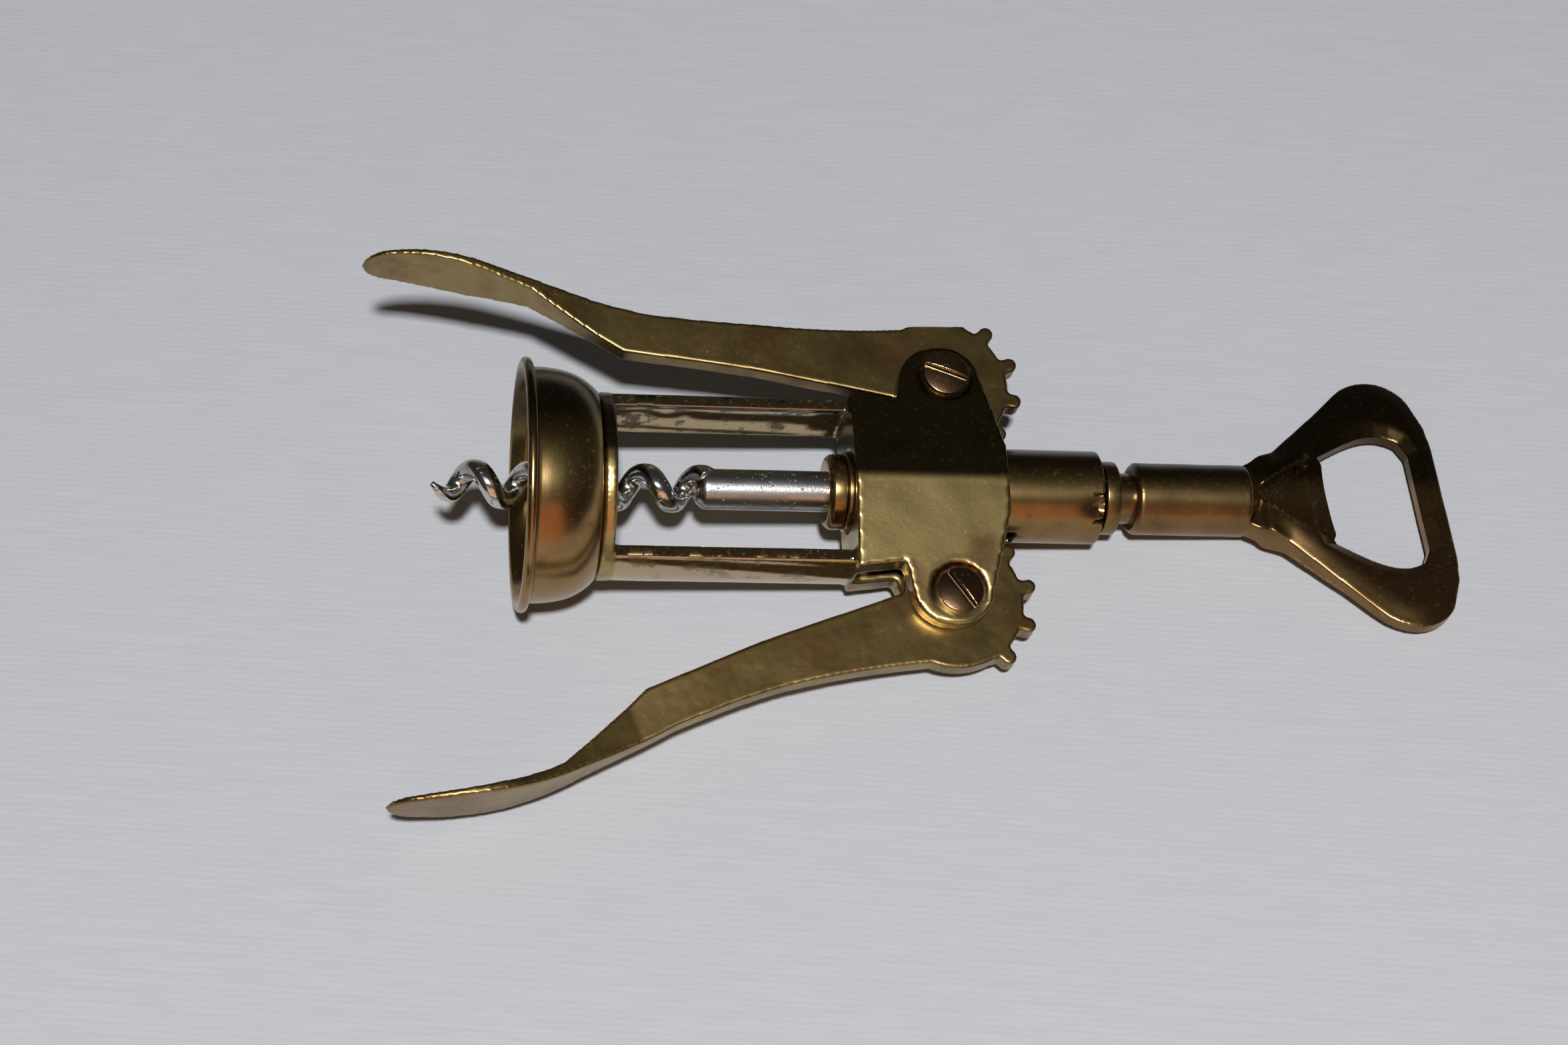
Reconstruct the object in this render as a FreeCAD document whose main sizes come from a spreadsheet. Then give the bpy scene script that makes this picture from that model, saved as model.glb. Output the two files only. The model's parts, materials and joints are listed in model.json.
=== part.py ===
"""Wing corkscrew in cast brass, lying on a table as it was left.

Every piece is drawn in the tool's own frame: the X axis is the axis of the
screw and the Z axis is square to the plane in which the wings swing. X is 0
at the mouth of the bell and grows toward the handle, in millimetres. At the
end all pieces are laid on the table together: the rim of the bell and the
flat end of the handle touch it, and the frame leans over a little.
"""

import FreeCAD
import Part
import math
import os
import re

import Sketcher

doc = FreeCAD.newDocument("wing_corkscrew")
sheet = doc.addObject("Spreadsheet::Sheet", "Sizes")
sizes = {
    # Bell that stands on the bottle
    "rim_radius": 21.0,  # outer radius of the rolled rim at the mouth
    "rim_length": 1.9,  # length of the rolled rim along the axis
    "bell_radius": 19.0,  # outer radius of the body of the bell
    "bell_curve": 13.0,  # radius of the curve of the bell toward its back
    "bell_straight": 3.0,  # where the straight wall of the bell ends
    "bell_length": 12.6,  # from the mouth to the back of the bell
    "bell_wall": 1.3,  # thickness of the spun wall
    "bell_back_radius": 15.3,  # outer radius of the flat back of the bell
    "guide_hole_radius": 5.0,  # hole that guides the worm into the cork
    "spigot_radius": 10.5,  # spigot of the frame that carries the bell
    "seat_gap": 0.03,  # gap round pieces that are pressed or brazed together
    # Frame
    "collar_radius": 15.5,  # outer radius of the ring behind the bell
    "collar_gap": 0.25,  # gap between the back of the bell and the ring
    "collar_length": 2.15,  # length of that ring
    "bar_radius": 15.4,  # outer radius of the two bars
    "bar_wall": 1.85,  # thickness of the bars
    "bar_half_width": 5.75,  # half of the width of a bar
    "window_length": 40.1,  # from the ring to the head
    "head_length": 25.8,  # length of the head along the axis
    "head_ridge": 8.6,  # height of the ridge of the head above the axis
    "head_slope": 8.0,  # slope of the two faces beside the ridge, in degrees
    "head_shoulder": 6.0,  # half of the width of the end of the head
    "ear_radius": 5.3,  # radius of an ear round its screw
    "ear_half_height": 5.4,  # height of the flat of an ear above mid-plane
    "arm_slot": 16.4,  # from a pivot to the front end of the slot for its wing
    # Pivots and wings
    "pivot_inset": 16.6,  # from the front of the head to the pivots
    "pivot_across": 19.4,  # distance of a pivot from the axis
    "screw_radius": 2.4,  # radius of a pivot screw
    "screw_head_radius": 3.85,  # radius of the head of a pivot screw
    "screw_head_height": 1.5,  # height of that head at its edge
    "screw_dome": 0.5,  # rise of the head in the middle
    "screw_slot_width": 0.9,  # width of the driver slot
    "screw_slot_depth": 0.9,  # depth of the driver slot
    "pivot_clearance": 0.05,  # radial running gap on the pivot screws
    "plate_half": 1.8,  # half of the thickness of a wing's plate
    "slot_clearance": 0.3,  # gap between a wing and what it swings in
    "gear_root": 11.8,  # radius of a wing between its teeth
    "tooth_tip": 14.3,  # radius over the tips of the teeth
    "tooth_half_width": 1.25,  # half of the width of a tooth below its tip
    "tooth_foot_half_width": 1.9,  # half of the width of a tooth at its foot
    "teeth_per_turn": 12,  # teeth that a full circle would hold
    "teeth_cut": 6,  # teeth that a wing has
    "tooth_lead": 3.4,  # how far a wing lies back in the play of its teeth
    "upper_angle": 11.5,  # angle of the upper wing to the axis
    "lower_angle": 21.1,  # angle of the lower wing to the axis
    "wing_length": 99.1,  # from the pivot to the tip of a wing
    "elbow_along": 53.7,  # from the pivot to the elbow of a wing
    "elbow_inner": 5.0,  # depth of the plate at the elbow, inner side
    "wing_neck_along": 7.5,  # from the pivot to the end of the arm's inner edge
    "heel_along": 3.4,  # from the pivot to the heel behind the first tooth
    "neck_inner": 4.1,  # depth of the plate near the ear, inner side
    "waist_outer": 2.6,  # outer edge of the plate past the middle
    "shoulder_outer": 11.9,  # outer edge of the plate at its shoulder
    "paddle_start": 71.0,  # where the thin paddle begins
    "paddle_crown": 3.9,  # height of the paddle over the line to its tip
    "paddle_thickness": 1.9,  # thickness of the paddle
    "paddle_half_width": 6.2,  # half of the width of the paddle
    # Rack, washer, collar, sleeve and worm
    "rack_radius": 6.6,  # outer radius of the rings of the rack
    "rack_core": 4.8,  # radius between the rings of the rack
    "gear_pitch_radius": 13.6,  # radius at which wing and rack roll
    "ring_top_width": 2.2,  # width of a ring at its outside
    "ring_foot_width": 3.2,  # width of a ring at the core
    "ring_count": 5,  # rings of the rack between its two ends
    "top_ring_radius": 6.2,  # radius of the last ring, at the handle
    "top_ring_stand": 3.4,  # how far the last ring stands out of the sleeve
    "top_ring_length": 2.5,  # length of the last ring
    "bore_clearance": 0.08,  # radial running gap of the rack in its bore
    "sleeve_wall": 1.2,  # wall of the guide sleeve
    "sleeve_length": 16.5,  # length of the guide sleeve in sight
    "sleeve_seat": 3.0,  # depth of the sleeve in the head
    "sleeve_hole": 1.9,  # length of the tooth gap in sight on the sleeve
    "washer_radius": 7.2,  # outer radius of the stop washer
    "washer_thickness": 0.9,  # thickness of the stop washer
    "washer_gap": 0.06,  # play of the stop washer
    "journal_radius": 4.2,  # end of the rack that carries the washer
    "collar_nut_radius": 6.4,  # radius of the end collar
    "collar_nut_length": 3.4,  # length of the end collar
    "collar_nut_round": 1.2,  # rounding of the end collar at the worm side
    "neck_radius": 4.3,  # radius of the neck below the handle
    "neck_length": 2.8,  # length of the neck
    "tang_radius": 3.0,  # end of the neck inside the handle
    "tang_length": 11.0,  # length of that end
    "worm_shank_radius": 3.4,  # radius of the steel shank
    "shank_length": 21.38,  # length of the shank in sight
    "worm_insert": 9.0,  # depth of the shank in the rack
    "worm_radius": 4.0,  # outer radius of the worm
    "worm_wire_radius": 1.35,  # radius of the wire of the worm
    "worm_pitch": 9.33,  # rise of the worm in one turn
    "worm_length": 43.3,  # length of the worm from its point to the shank
    "worm_phase": 31.0,  # angle of the worm where it is highest in view
    "worm_crest_inset": 6.85,  # from the point to the first crest in view
    "travel": 21.4,  # how far the rack can slide toward the bell
    # Handle with its cap lifter
    "barrel_radius": 6.1,  # radius of the barrel of the handle
    "barrel_length": 21.4,  # length of the barrel
    "loop_length": 34.3,  # from the barrel to the far face of the loop
    "loop_half_width": 25.3,  # half of the width over the corners
    "loop_root_half": 6.4,  # half of the width where the loop begins
    "loop_half_thickness": 2.0,  # half of the thickness of the loop
    "loop_bar": 5.1,  # width of the bar at the far end
    "web_length": 12.7,  # from the barrel to the edge that lifts a cap
    "opening_half_width": 13.7,  # half of the width of the opening
    "web_half_thickness": 0.9,  # half of the thickness of the web
    "web_inset": 1.4,  # from the barrel to the sunk part of the web
    "web_band": 2.0,  # width of the smooth band along the web's edge
    # How it lies
    "frame_roll": 12.5,  # lean of the frame about the axis, in degrees
}
for row, (name, number) in enumerate(sizes.items(), start=1):
    sheet.set("A%d" % row, name)
    sheet.set("B%d" % row, str(number))
    sheet.setAlias("B%d" % row, name)
doc.recompute()

# Places along the axis, each worked out from the piece in front of it
places = {
    "collar_start": "bell_length + collar_gap",
    "window_start": "collar_start + collar_length",
    "head_start": "window_start + window_length",
    "head_end": "head_start + head_length",
    "pivot_along": "head_start + pivot_inset",
    "sleeve_start": "head_end - sleeve_seat",
    "sleeve_end": "head_end + sleeve_length",
    "washer_start": "head_start - washer_thickness - washer_gap",
    "journal_start": "washer_start - washer_gap",
    "nut_start": "journal_start - collar_nut_length",
    "worm_shank_start": "nut_start - shank_length",
    "worm_tip": "worm_shank_start - worm_length",
    "worm_crest": "worm_tip + worm_crest_inset",
    "top_ring_end": "sleeve_end + top_ring_stand",
    "neck_end": "top_ring_end + neck_length",
    "barrel_end": "neck_end + barrel_length",
    "loop_end": "barrel_end + loop_length",
    "opening_start": "barrel_end + web_length",
    "web_start": "barrel_end + web_inset",
    # Lengths that several pieces share
    "bore": "rack_radius + bore_clearance",
    "sleeve_outer": "bore + sleeve_wall",
    "through": "4 * collar_radius",
    "slot_height": "2 * (plate_half + slot_clearance)",
    "gear_room": "tooth_tip + 2 * slot_clearance",
    "rack_pitch": "2 * pi * gear_pitch_radius / teeth_per_turn",
}


def value(text):
    """Work out an expression of named sizes as a plain number."""
    return float(sheet.evalExpression(tied(text)))


def tied(text):
    """Turn the names in an expression into references to the sheet's cells."""

    def reference(match):
        word = match.group(0)
        if word in places:
            return "(" + tied(places[word]) + ")"
        return "Sizes." + word if word in sizes else word

    return re.sub(r"[A-Za-z_][A-Za-z_0-9]*", reference, text)


def origin_plane(body, role):
    """Find one of the planes or axes that every body starts with."""
    for feature in body.Origin.OriginFeatures:
        if feature.Role == role:
            return feature
    raise ValueError("no origin feature " + role)


def new_body(name):
    """Start one solid piece of the corkscrew."""
    body = doc.addObject("PartDesign::Body", name)
    body.Label = name
    return body


def outline(body, name, role, loops):
    """Draw closed outlines whose corners are bound to the sheet.

    Each corner is (x, y) or (x, y, radius, turn): with a radius, the edge that
    leaves the corner is an arc, bending left for a turn of 1 and right for -1.
    """
    sketch = body.newObject("Sketcher::SketchObject", name)
    sketch.AttachmentSupport = (origin_plane(body, role), "")
    sketch.MapMode = "FlatFace"
    for corners in loops:
        add_loop(sketch, corners)
    return sketch


def add_loop(sketch, corners):
    """Add one closed outline to a sketch."""
    first = sketch.GeometryCount
    count = len(corners)
    places = [FreeCAD.Vector(value(c[0]), value(c[1]), 0) for c in corners]
    starts = []
    ends = []
    for index, corner in enumerate(corners):
        here = places[index]
        there = places[(index + 1) % count]
        if len(corner) == 2:
            sketch.addGeometry(Part.LineSegment(here, there))
            starts.append(1)
            ends.append(2)
            continue
        radius = value(corner[2])
        turn = corner[3]
        chord = there - here
        rise = math.sqrt(max(radius ** 2 - chord.Length ** 2 / 4, 0))
        left = FreeCAD.Vector(-chord.y, chord.x, 0).normalize()
        centre = (here + there) * 0.5 + left * (rise * turn)
        circle = Part.Circle(centre, FreeCAD.Vector(0, 0, 1), radius)
        from_angle = math.atan2(here.y - centre.y, here.x - centre.x)
        to_angle = math.atan2(there.y - centre.y, there.x - centre.x)
        if turn > 0:
            arc = Part.ArcOfCircle(circle, from_angle, to_angle)
            starts.append(1)
            ends.append(2)
        else:
            arc = Part.ArcOfCircle(circle, to_angle, from_angle)
            starts.append(2)
            ends.append(1)
        sketch.addGeometry(arc)
    for index, corner in enumerate(corners):
        edge = first + index
        after = first + (index + 1) % count
        link = Sketcher.Constraint("Coincident", edge, ends[index], after, starts[(index + 1) % count])
        sketch.addConstraint(link)
    for index, corner in enumerate(corners):
        edge = first + index
        bind_point(sketch, edge, starts[index], corner[0], corner[1])
        if len(corner) == 4:
            number = sketch.addConstraint(Sketcher.Constraint("Radius", edge, value(corner[2])))
            sketch.setExpression("Constraints[%d]" % number, tied(corner[2]))


def bind_point(sketch, edge, end, across, up):
    """Hold one corner at a place that the sheet gives."""
    if across == "0":
        sketch.addConstraint(Sketcher.Constraint("PointOnObject", edge, end, -2))
    else:
        number = sketch.addConstraint(Sketcher.Constraint("DistanceX", -1, 1, edge, end, value(across)))
        sketch.setExpression("Constraints[%d]" % number, tied(across))
    if up == "0":
        sketch.addConstraint(Sketcher.Constraint("PointOnObject", edge, end, -1))
    else:
        number = sketch.addConstraint(Sketcher.Constraint("DistanceY", -1, 1, edge, end, value(up)))
        sketch.setExpression("Constraints[%d]" % number, tied(up))


def round_outline(body, name, role, circles):
    """Draw full circles, each (x, y, radius), bound to the sheet."""
    sketch = body.newObject("Sketcher::SketchObject", name)
    sketch.AttachmentSupport = (origin_plane(body, role), "")
    sketch.MapMode = "FlatFace"
    for across, up, radius in circles:
        centre = FreeCAD.Vector(value(across), value(up), 0)
        edge = sketch.addGeometry(Part.Circle(centre, FreeCAD.Vector(0, 0, 1), value(radius)))
        bind_point(sketch, edge, 3, across, up)
        number = sketch.addConstraint(Sketcher.Constraint("Radius", edge, value(radius)))
        sketch.setExpression("Constraints[%d]" % number, tied(radius))
    return sketch


def turned(body, name, corners):
    """Turn an outline of (along, radius) corners about the axis."""
    sketch = outline(body, name + "_outline", "XZ_Plane", [corners])
    feature = body.newObject("PartDesign::Revolution", name)
    feature.Profile = sketch
    feature.ReferenceAxis = (sketch, ["H_Axis"])
    feature.Angle = 360
    return feature


def grooved(body, name, corners):
    """Cut an outline of (along, radius) corners away about the axis."""
    sketch = outline(body, name + "_outline", "XZ_Plane", [corners])
    feature = body.newObject("PartDesign::Groove", name)
    feature.Profile = sketch
    feature.ReferenceAxis = (sketch, ["H_Axis"])
    feature.Angle = 360
    return feature


def pad(body, name, sketch, length):
    """Raise a sketch by a length, half to each side of its plane."""
    feature = body.newObject("PartDesign::Pad", name)
    feature.Profile = sketch
    feature.Length = value(length)
    feature.setExpression("Length", tied(length))
    feature.Midplane = True
    return feature


def raised_pocket(body, name, sketch, low, high):
    """Cut a sketch away between two heights above its plane."""
    middle = "(" + low + " + " + high + ") / 2"
    sketch.AttachmentOffset = FreeCAD.Placement(
        FreeCAD.Vector(0, 0, value(middle)), FreeCAD.Rotation()
    )
    sketch.setExpression("AttachmentOffset.Base.z", tied(middle))
    return pocket(body, name, sketch, "abs(" + high + " - (" + low + "))")


def pocket(body, name, sketch, length):
    """Cut a sketch away over a length, half to each side of its plane."""
    feature = body.newObject("PartDesign::Pocket", name)
    feature.Profile = sketch
    feature.Length = value(length)
    feature.setExpression("Length", tied(length))
    feature.Midplane = True
    return feature


pieces = {}

# Bell: a spun shell with a rolled rim and a flat back round the spigot
bell = new_body("bell")
turned(bell, "bell_shell", [
    ("0", "rim_radius - bell_wall - 0.9"),
    ("0.5", "rim_radius - 0.7"),
    ("1.1", "rim_radius"),
    ("rim_length", "rim_radius - 0.4"),
    ("rim_length + 0.4", "bell_radius"),
    ("bell_straight", "bell_radius", "bell_curve", -1),
    ("bell_length", "bell_back_radius"),
    ("bell_length", "spigot_radius + seat_gap"),
    ("bell_length - bell_wall", "spigot_radius + seat_gap"),
    ("bell_length - bell_wall", "bell_back_radius - bell_wall", "bell_curve - bell_wall", 1),
    ("bell_straight", "bell_radius - bell_wall"),
    ("rim_length", "bell_radius - bell_wall"),
])
pieces["bell"] = bell

# Frame: one casting with the ring, the two bars and the head
frame = new_body("frame_casting")
turned(frame, "frame_ring", [
    ("bell_length - bell_wall", "guide_hole_radius"),
    ("bell_length - bell_wall", "spigot_radius"),
    ("collar_start", "spigot_radius"),
    ("collar_start", "collar_radius"),
    ("window_start", "collar_radius"),
    ("window_start", "bar_radius"),
    ("head_start + 1", "bar_radius"),
    ("head_start + 1", "bar_radius - bar_wall"),
    ("window_start", "bar_radius - bar_wall"),
    ("window_start", "guide_hole_radius"),
])
window = outline(frame, "window_outline", "XZ_Plane", [
    [
        ("window_start", "bar_half_width"),
        ("head_start + 2", "bar_half_width"),
        ("head_start + 2", "bar_radius + 1"),
        ("window_start", "bar_radius + 1"),
    ],
    [
        ("window_start", "-bar_half_width"),
        ("window_start", "-bar_radius - 1"),
        ("head_start + 2", "-bar_radius - 1"),
        ("head_start + 2", "-bar_half_width"),
    ],
])
pocket(frame, "window_cut", window, "through")

ear_top = "pivot_across + ear_radius"
ear_side = "pivot_across + ear_radius * 0.42"
ear_crown = "pivot_along - ear_radius * 0.3"
ear_left = "pivot_along - ear_radius * 1.45"
ear_right = "pivot_along + ear_radius"
notch = "pivot_along - ear_radius * 1.65"
head_outline = outline(frame, "head_outline", "XY_Plane", [[
    ("head_start", "bar_radius"),
    ("head_start", "-bar_radius"),
    (notch, "-bar_radius + 1"),
    (ear_left, "-pivot_across", "ear_radius * 1.25", 1),
    (ear_crown, "-(" + ear_top + ")", "ear_radius * 1.25", 1),
    (ear_right, "-(" + ear_side + ")"),
    ("head_end", "-head_shoulder"),
    ("head_end", "head_shoulder"),
    (ear_right, ear_side, "ear_radius * 1.25", 1),
    (ear_crown, ear_top, "ear_radius * 1.25", 1),
    (ear_left, "pivot_across"),
    (notch, "bar_radius - 1"),
]])
pad(frame, "head", head_outline, "2 * head_ridge")

slope_far = "pivot_across + 2 * ear_radius"
roof_far = "head_ridge - (" + slope_far + ") * tan(head_slope)"
roof = outline(frame, "roof_outline", "YZ_Plane", [
    [
        ("0", "head_ridge"),
        (slope_far, roof_far),
        (slope_far, "head_ridge + 2"),
        ("-(" + slope_far + ")", "head_ridge + 2"),
        ("-(" + slope_far + ")", roof_far),
    ],
    [
        ("0", "-head_ridge"),
        ("-(" + slope_far + ")", "-(" + roof_far + ")"),
        ("-(" + slope_far + ")", "-head_ridge - 2"),
        (slope_far, "-head_ridge - 2"),
        (slope_far, "-(" + roof_far + ")"),
    ],
])
raised_pocket(frame, "roof_cut", roof, "head_start", "head_end + 1")

ears = round_outline(frame, "ear_outline", "XY_Plane", [
    ("pivot_along", "pivot_across", "ear_radius"),
    ("pivot_along", "-pivot_across", "ear_radius"),
])
pad(frame, "ear_bosses", ears, "2 * ear_half_height")

grooved(frame, "rack_bore", [
    ("head_start - 1", "0"),
    ("head_start - 1", "bore"),
    ("sleeve_start", "bore"),
    ("sleeve_start", "sleeve_outer + seat_gap"),
    ("head_end + 1", "sleeve_outer + seat_gap"),
    ("head_end + 1", "0"),
])

gear_slots = round_outline(frame, "gear_slot_outline", "XY_Plane", [
    ("pivot_along", "pivot_across", "gear_room"),
])
pocket(frame, "gear_slot_upper", gear_slots, "slot_height")
gear_slots = round_outline(frame, "gear_slot_outline_lower", "XY_Plane", [
    ("pivot_along", "-pivot_across", "gear_room"),
])
pocket(frame, "gear_slot_lower", gear_slots, "slot_height")
arm_slots = outline(frame, "arm_slot_outline", "XY_Plane", [
    [
        ("pivot_along - arm_slot", "bar_radius + 0.5"),
        ("pivot_along - arm_slot + 1", "bar_radius - bar_wall"),
        ("pivot_along", "bar_radius - bar_wall"),
        ("pivot_along", "pivot_across + 2 * ear_radius"),
        ("pivot_along - arm_slot", "pivot_across + 2 * ear_radius"),
    ],
    [
        ("pivot_along - arm_slot", "-bar_radius - 0.5"),
        ("pivot_along - arm_slot", "-pivot_across - 2 * ear_radius"),
        ("pivot_along", "-pivot_across - 2 * ear_radius"),
        ("pivot_along", "-bar_radius + bar_wall"),
        ("pivot_along - arm_slot + 1", "-bar_radius + bar_wall"),
    ],
])
pocket(frame, "arm_slots", arm_slots, "slot_height")

screw_holes = round_outline(frame, "screw_hole_outline", "XY_Plane", [
    ("pivot_along", "pivot_across", "screw_radius + seat_gap"),
    ("pivot_along", "-pivot_across", "screw_radius + seat_gap"),
])
pocket(frame, "screw_holes", screw_holes, "4 * ear_half_height")
for label, low, high in (
    ("screw_seats", "ear_half_height", "head_ridge + 1"),
    ("screw_ends", "-ear_half_height", "-head_ridge - 1"),
):
    seats = round_outline(frame, label + "_outline", "XY_Plane", [
        ("pivot_along", "pivot_across", "ear_radius - 0.5"),
        ("pivot_along", "-pivot_across", "ear_radius - 0.5"),
    ])
    raised_pocket(frame, label, seats, low, high)
pieces["frame_casting"] = frame
frame.Tip = frame.Group[-1]

# Guide sleeve: a thin tube let into the head, open where the teeth pass
sleeve = new_body("guide_sleeve")
turned(sleeve, "sleeve_tube", [
    ("sleeve_start", "bore"),
    ("sleeve_start", "sleeve_outer"),
    ("sleeve_end", "sleeve_outer"),
    ("sleeve_end", "bore"),
])
tooth_gap = outline(sleeve, "tooth_gap_outline", "XZ_Plane", [[
    ("sleeve_start - 1", "-plate_half - slot_clearance"),
    ("head_end + sleeve_hole", "-plate_half - slot_clearance"),
    ("head_end + sleeve_hole", "plate_half + slot_clearance"),
    ("sleeve_start - 1", "plate_half + slot_clearance"),
]])
pocket(sleeve, "tooth_gap", tooth_gap, "through")
pieces["guide_sleeve"] = sleeve


def pivot_screw(name):
    """Slotted screw that carries one wing between the two cheeks."""
    body = new_body(name)
    sketch = outline(body, name + "_outline", "XZ_Plane", [[
        ("0", "-ear_half_height"),
        ("screw_radius", "-ear_half_height"),
        ("screw_radius", "ear_half_height"),
        ("screw_head_radius", "ear_half_height"),
        ("screw_head_radius", "ear_half_height + screw_head_height"),
        ("0", "ear_half_height + screw_head_height + screw_dome"),
    ]])
    feature = body.newObject("PartDesign::Revolution", name + "_turned")
    feature.Profile = sketch
    feature.ReferenceAxis = (sketch, ["V_Axis"])
    feature.Angle = 360
    top = "ear_half_height + screw_head_height + screw_dome"
    slot = outline(body, name + "_slot_outline", "XZ_Plane", [[
        ("-screw_slot_width / 2", top + " - screw_slot_depth - screw_dome"),
        ("screw_slot_width / 2", top + " - screw_slot_depth - screw_dome"),
        ("screw_slot_width / 2", top + " + 1"),
        ("-screw_slot_width / 2", top + " + 1"),
    ]])
    pocket(body, name + "_slot", slot, "3 * screw_head_radius")
    return body


pieces["pivot_screw_upper"] = pivot_screw("pivot_screw_upper")
pieces["pivot_screw_lower"] = pivot_screw("pivot_screw_lower")


def wing(name, rest_angle, lead):
    """One wing: a flat toothed plate that runs out into a thin paddle.

    The pivot is at the origin and the arm runs along -X. The teeth are timed
    so that a gap between two of them faces the rack when the wing is at rest.
    """
    body = new_body(name)
    paddle_inner = "paddle_crown - paddle_thickness"
    arm = outline(body, name + "_arm_outline", "XY_Plane", [[
        ("2.5", "shoulder_outer", "172", -1),
        ("-elbow_along + 2", "waist_outer"),
        ("-paddle_start", "paddle_crown", "75", 1),
        ("-wing_length", "0.2"),
        ("-wing_length", "-0.6", "68", -1),
        ("-paddle_start", paddle_inner),
        ("-elbow_along", "-elbow_inner"),
        ("-wing_neck_along", "-neck_inner"),
        ("-heel_along", "-gear_root + 0.6"),
        ("6", "-8"),
        ("6", "8"),
    ]])
    pad(body, name + "_arm", arm, "2 * (paddle_half_width + 0.5)")
    side = outline(body, name + "_side_outline", "XZ_Plane", [
        [
            ("14", "plate_half"),
            ("14", "paddle_half_width + 2"),
            ("-wing_length - 2", "paddle_half_width + 2"),
            ("-wing_length - 2", "0"),
            ("-wing_length", "0", "5.6", -1),
            ("-wing_length + 5", "paddle_half_width - 1.2", "30", -1),
            ("-wing_length + 22", "paddle_half_width - 1.1", "150", 1),
            ("-wing_length + 41.5", "plate_half"),
        ],
    ])
    pocket(body, name + "_side_above", side, "8 * paddle_half_width")
    side_below = outline(body, name + "_side_outline_below", "XZ_Plane", [
        [
            ("14", "-plate_half"),
            ("-wing_length + 41.5", "-plate_half", "150", 1),
            ("-wing_length + 22", "-paddle_half_width + 1.1", "30", -1),
            ("-wing_length + 5", "-paddle_half_width + 1.2", "5.6", -1),
            ("-wing_length", "0"),
            ("-wing_length - 2", "0"),
            ("-wing_length - 2", "-paddle_half_width - 2"),
            ("14", "-paddle_half_width - 2"),
        ],
    ])
    pocket(body, name + "_side_below", side_below, "8 * paddle_half_width")
    disc = round_outline(body, name + "_disc_outline", "XY_Plane", [("0", "0", "gear_root")])
    pad(body, name + "_disc", disc, "2 * plate_half")
    heel = outline(body, name + "_heel_outline", "XY_Plane", [[
        ("-wing_neck_along", "-neck_inner"),
        ("-heel_along", "-gear_root + 0.6"),
        ("-heel_along", "-gear_root - 1"),
        ("-gear_root - 1", "-gear_root - 1"),
        ("-gear_root - 1", "-neck_inner - 0.15"),
    ]])
    pocket(body, name + "_heel", heel, "4 * plate_half")
    tooth = outline(body, name + "_tooth_outline", "XY_Plane", [[
        ("gear_root - 0.8", "-tooth_foot_half_width"),
        ("gear_root + 0.5", "-tooth_half_width"),
        ("tooth_tip - tooth_half_width", "-tooth_half_width", "tooth_half_width", 1),
        ("tooth_tip", "0", "tooth_half_width", 1),
        ("tooth_tip - tooth_half_width", "tooth_half_width"),
        ("gear_root + 0.5", "tooth_half_width"),
        ("gear_root - 0.8", "tooth_foot_half_width"),
    ]])
    phase = rest_angle + " - 90 " + lead
    turn = FreeCAD.Rotation(FreeCAD.Vector(0, 0, 1), value(phase))
    tooth.AttachmentOffset = FreeCAD.Placement(FreeCAD.Vector(), turn)
    first = pad(body, name + "_tooth", tooth, "2 * plate_half")
    doc.recompute()
    pattern = body.newObject("PartDesign::PolarPattern", name + "_teeth")
    pattern.Originals = [first]
    pattern.Axis = (origin_plane(body, "Z_Axis"), [""])
    pattern.Angle = 360 / value("teeth_per_turn") * (value("teeth_cut") - 1)
    pattern.setExpression("Angle", tied("360 / teeth_per_turn * (teeth_cut - 1)"))
    pattern.Occurrences = int(value("teeth_cut"))
    pattern.setExpression("Occurrences", tied("teeth_cut"))
    body.Tip = pattern
    hole = round_outline(body, name + "_hole_outline", "XY_Plane", [
        ("0", "0", "screw_radius + pivot_clearance"),
    ])
    drilled = pocket(body, name + "_hole", hole, "4 * plate_half")
    body.Tip = drilled
    return body


half_tooth = "180 / teeth_per_turn"
pieces["wing_upper"] = wing("wing_upper", "upper_angle", "- " + half_tooth + " + tooth_lead")
pieces["wing_lower"] = wing("wing_lower", "lower_angle", "- " + half_tooth + " + tooth_lead")

# Rack: a turned shaft with rings that the teeth of both wings engage
rack = new_body("rack_shaft")
turned(rack, "rack_core_turned", [
    ("nut_start + 1", "0"),
    ("nut_start + 1", "journal_radius"),
    ("head_start - washer_gap / 2", "journal_radius"),
    ("head_start - washer_gap / 2", "rack_radius"),
    ("head_start + 2.4", "rack_radius"),
    ("head_start + 2.9", "rack_core"),
    ("top_ring_end - top_ring_length - 0.5", "rack_core"),
    ("top_ring_end - top_ring_length", "top_ring_radius"),
    ("top_ring_end", "top_ring_radius"),
    ("top_ring_end", "neck_radius"),
    ("neck_end", "neck_radius"),
    ("neck_end", "tang_radius"),
    ("neck_end + tang_length", "tang_radius"),
    ("neck_end + tang_length", "0"),
])
ring_middle = "pivot_along - rack_pitch"
ring = turned(rack, "rack_ring", [
    (ring_middle + " - ring_foot_width / 2", "rack_core - 0.5"),
    (ring_middle + " - ring_foot_width / 2", "rack_core"),
    (ring_middle + " - ring_top_width / 2", "rack_radius"),
    (ring_middle + " + ring_top_width / 2", "rack_radius"),
    (ring_middle + " + ring_foot_width / 2", "rack_core"),
    (ring_middle + " + ring_foot_width / 2", "rack_core - 0.5"),
])
doc.recompute()
rings = rack.newObject("PartDesign::LinearPattern", "rack_rings")
rings.Originals = [ring]
rings.Direction = (origin_plane(rack, "X_Axis"), [""])
rings.Length = value("rack_pitch * (ring_count - 1)")
rings.setExpression("Length", tied("rack_pitch * (ring_count - 1)"))
rings.Occurrences = int(value("ring_count"))
rings.setExpression("Occurrences", tied("ring_count"))
rack.Tip = rings
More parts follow.
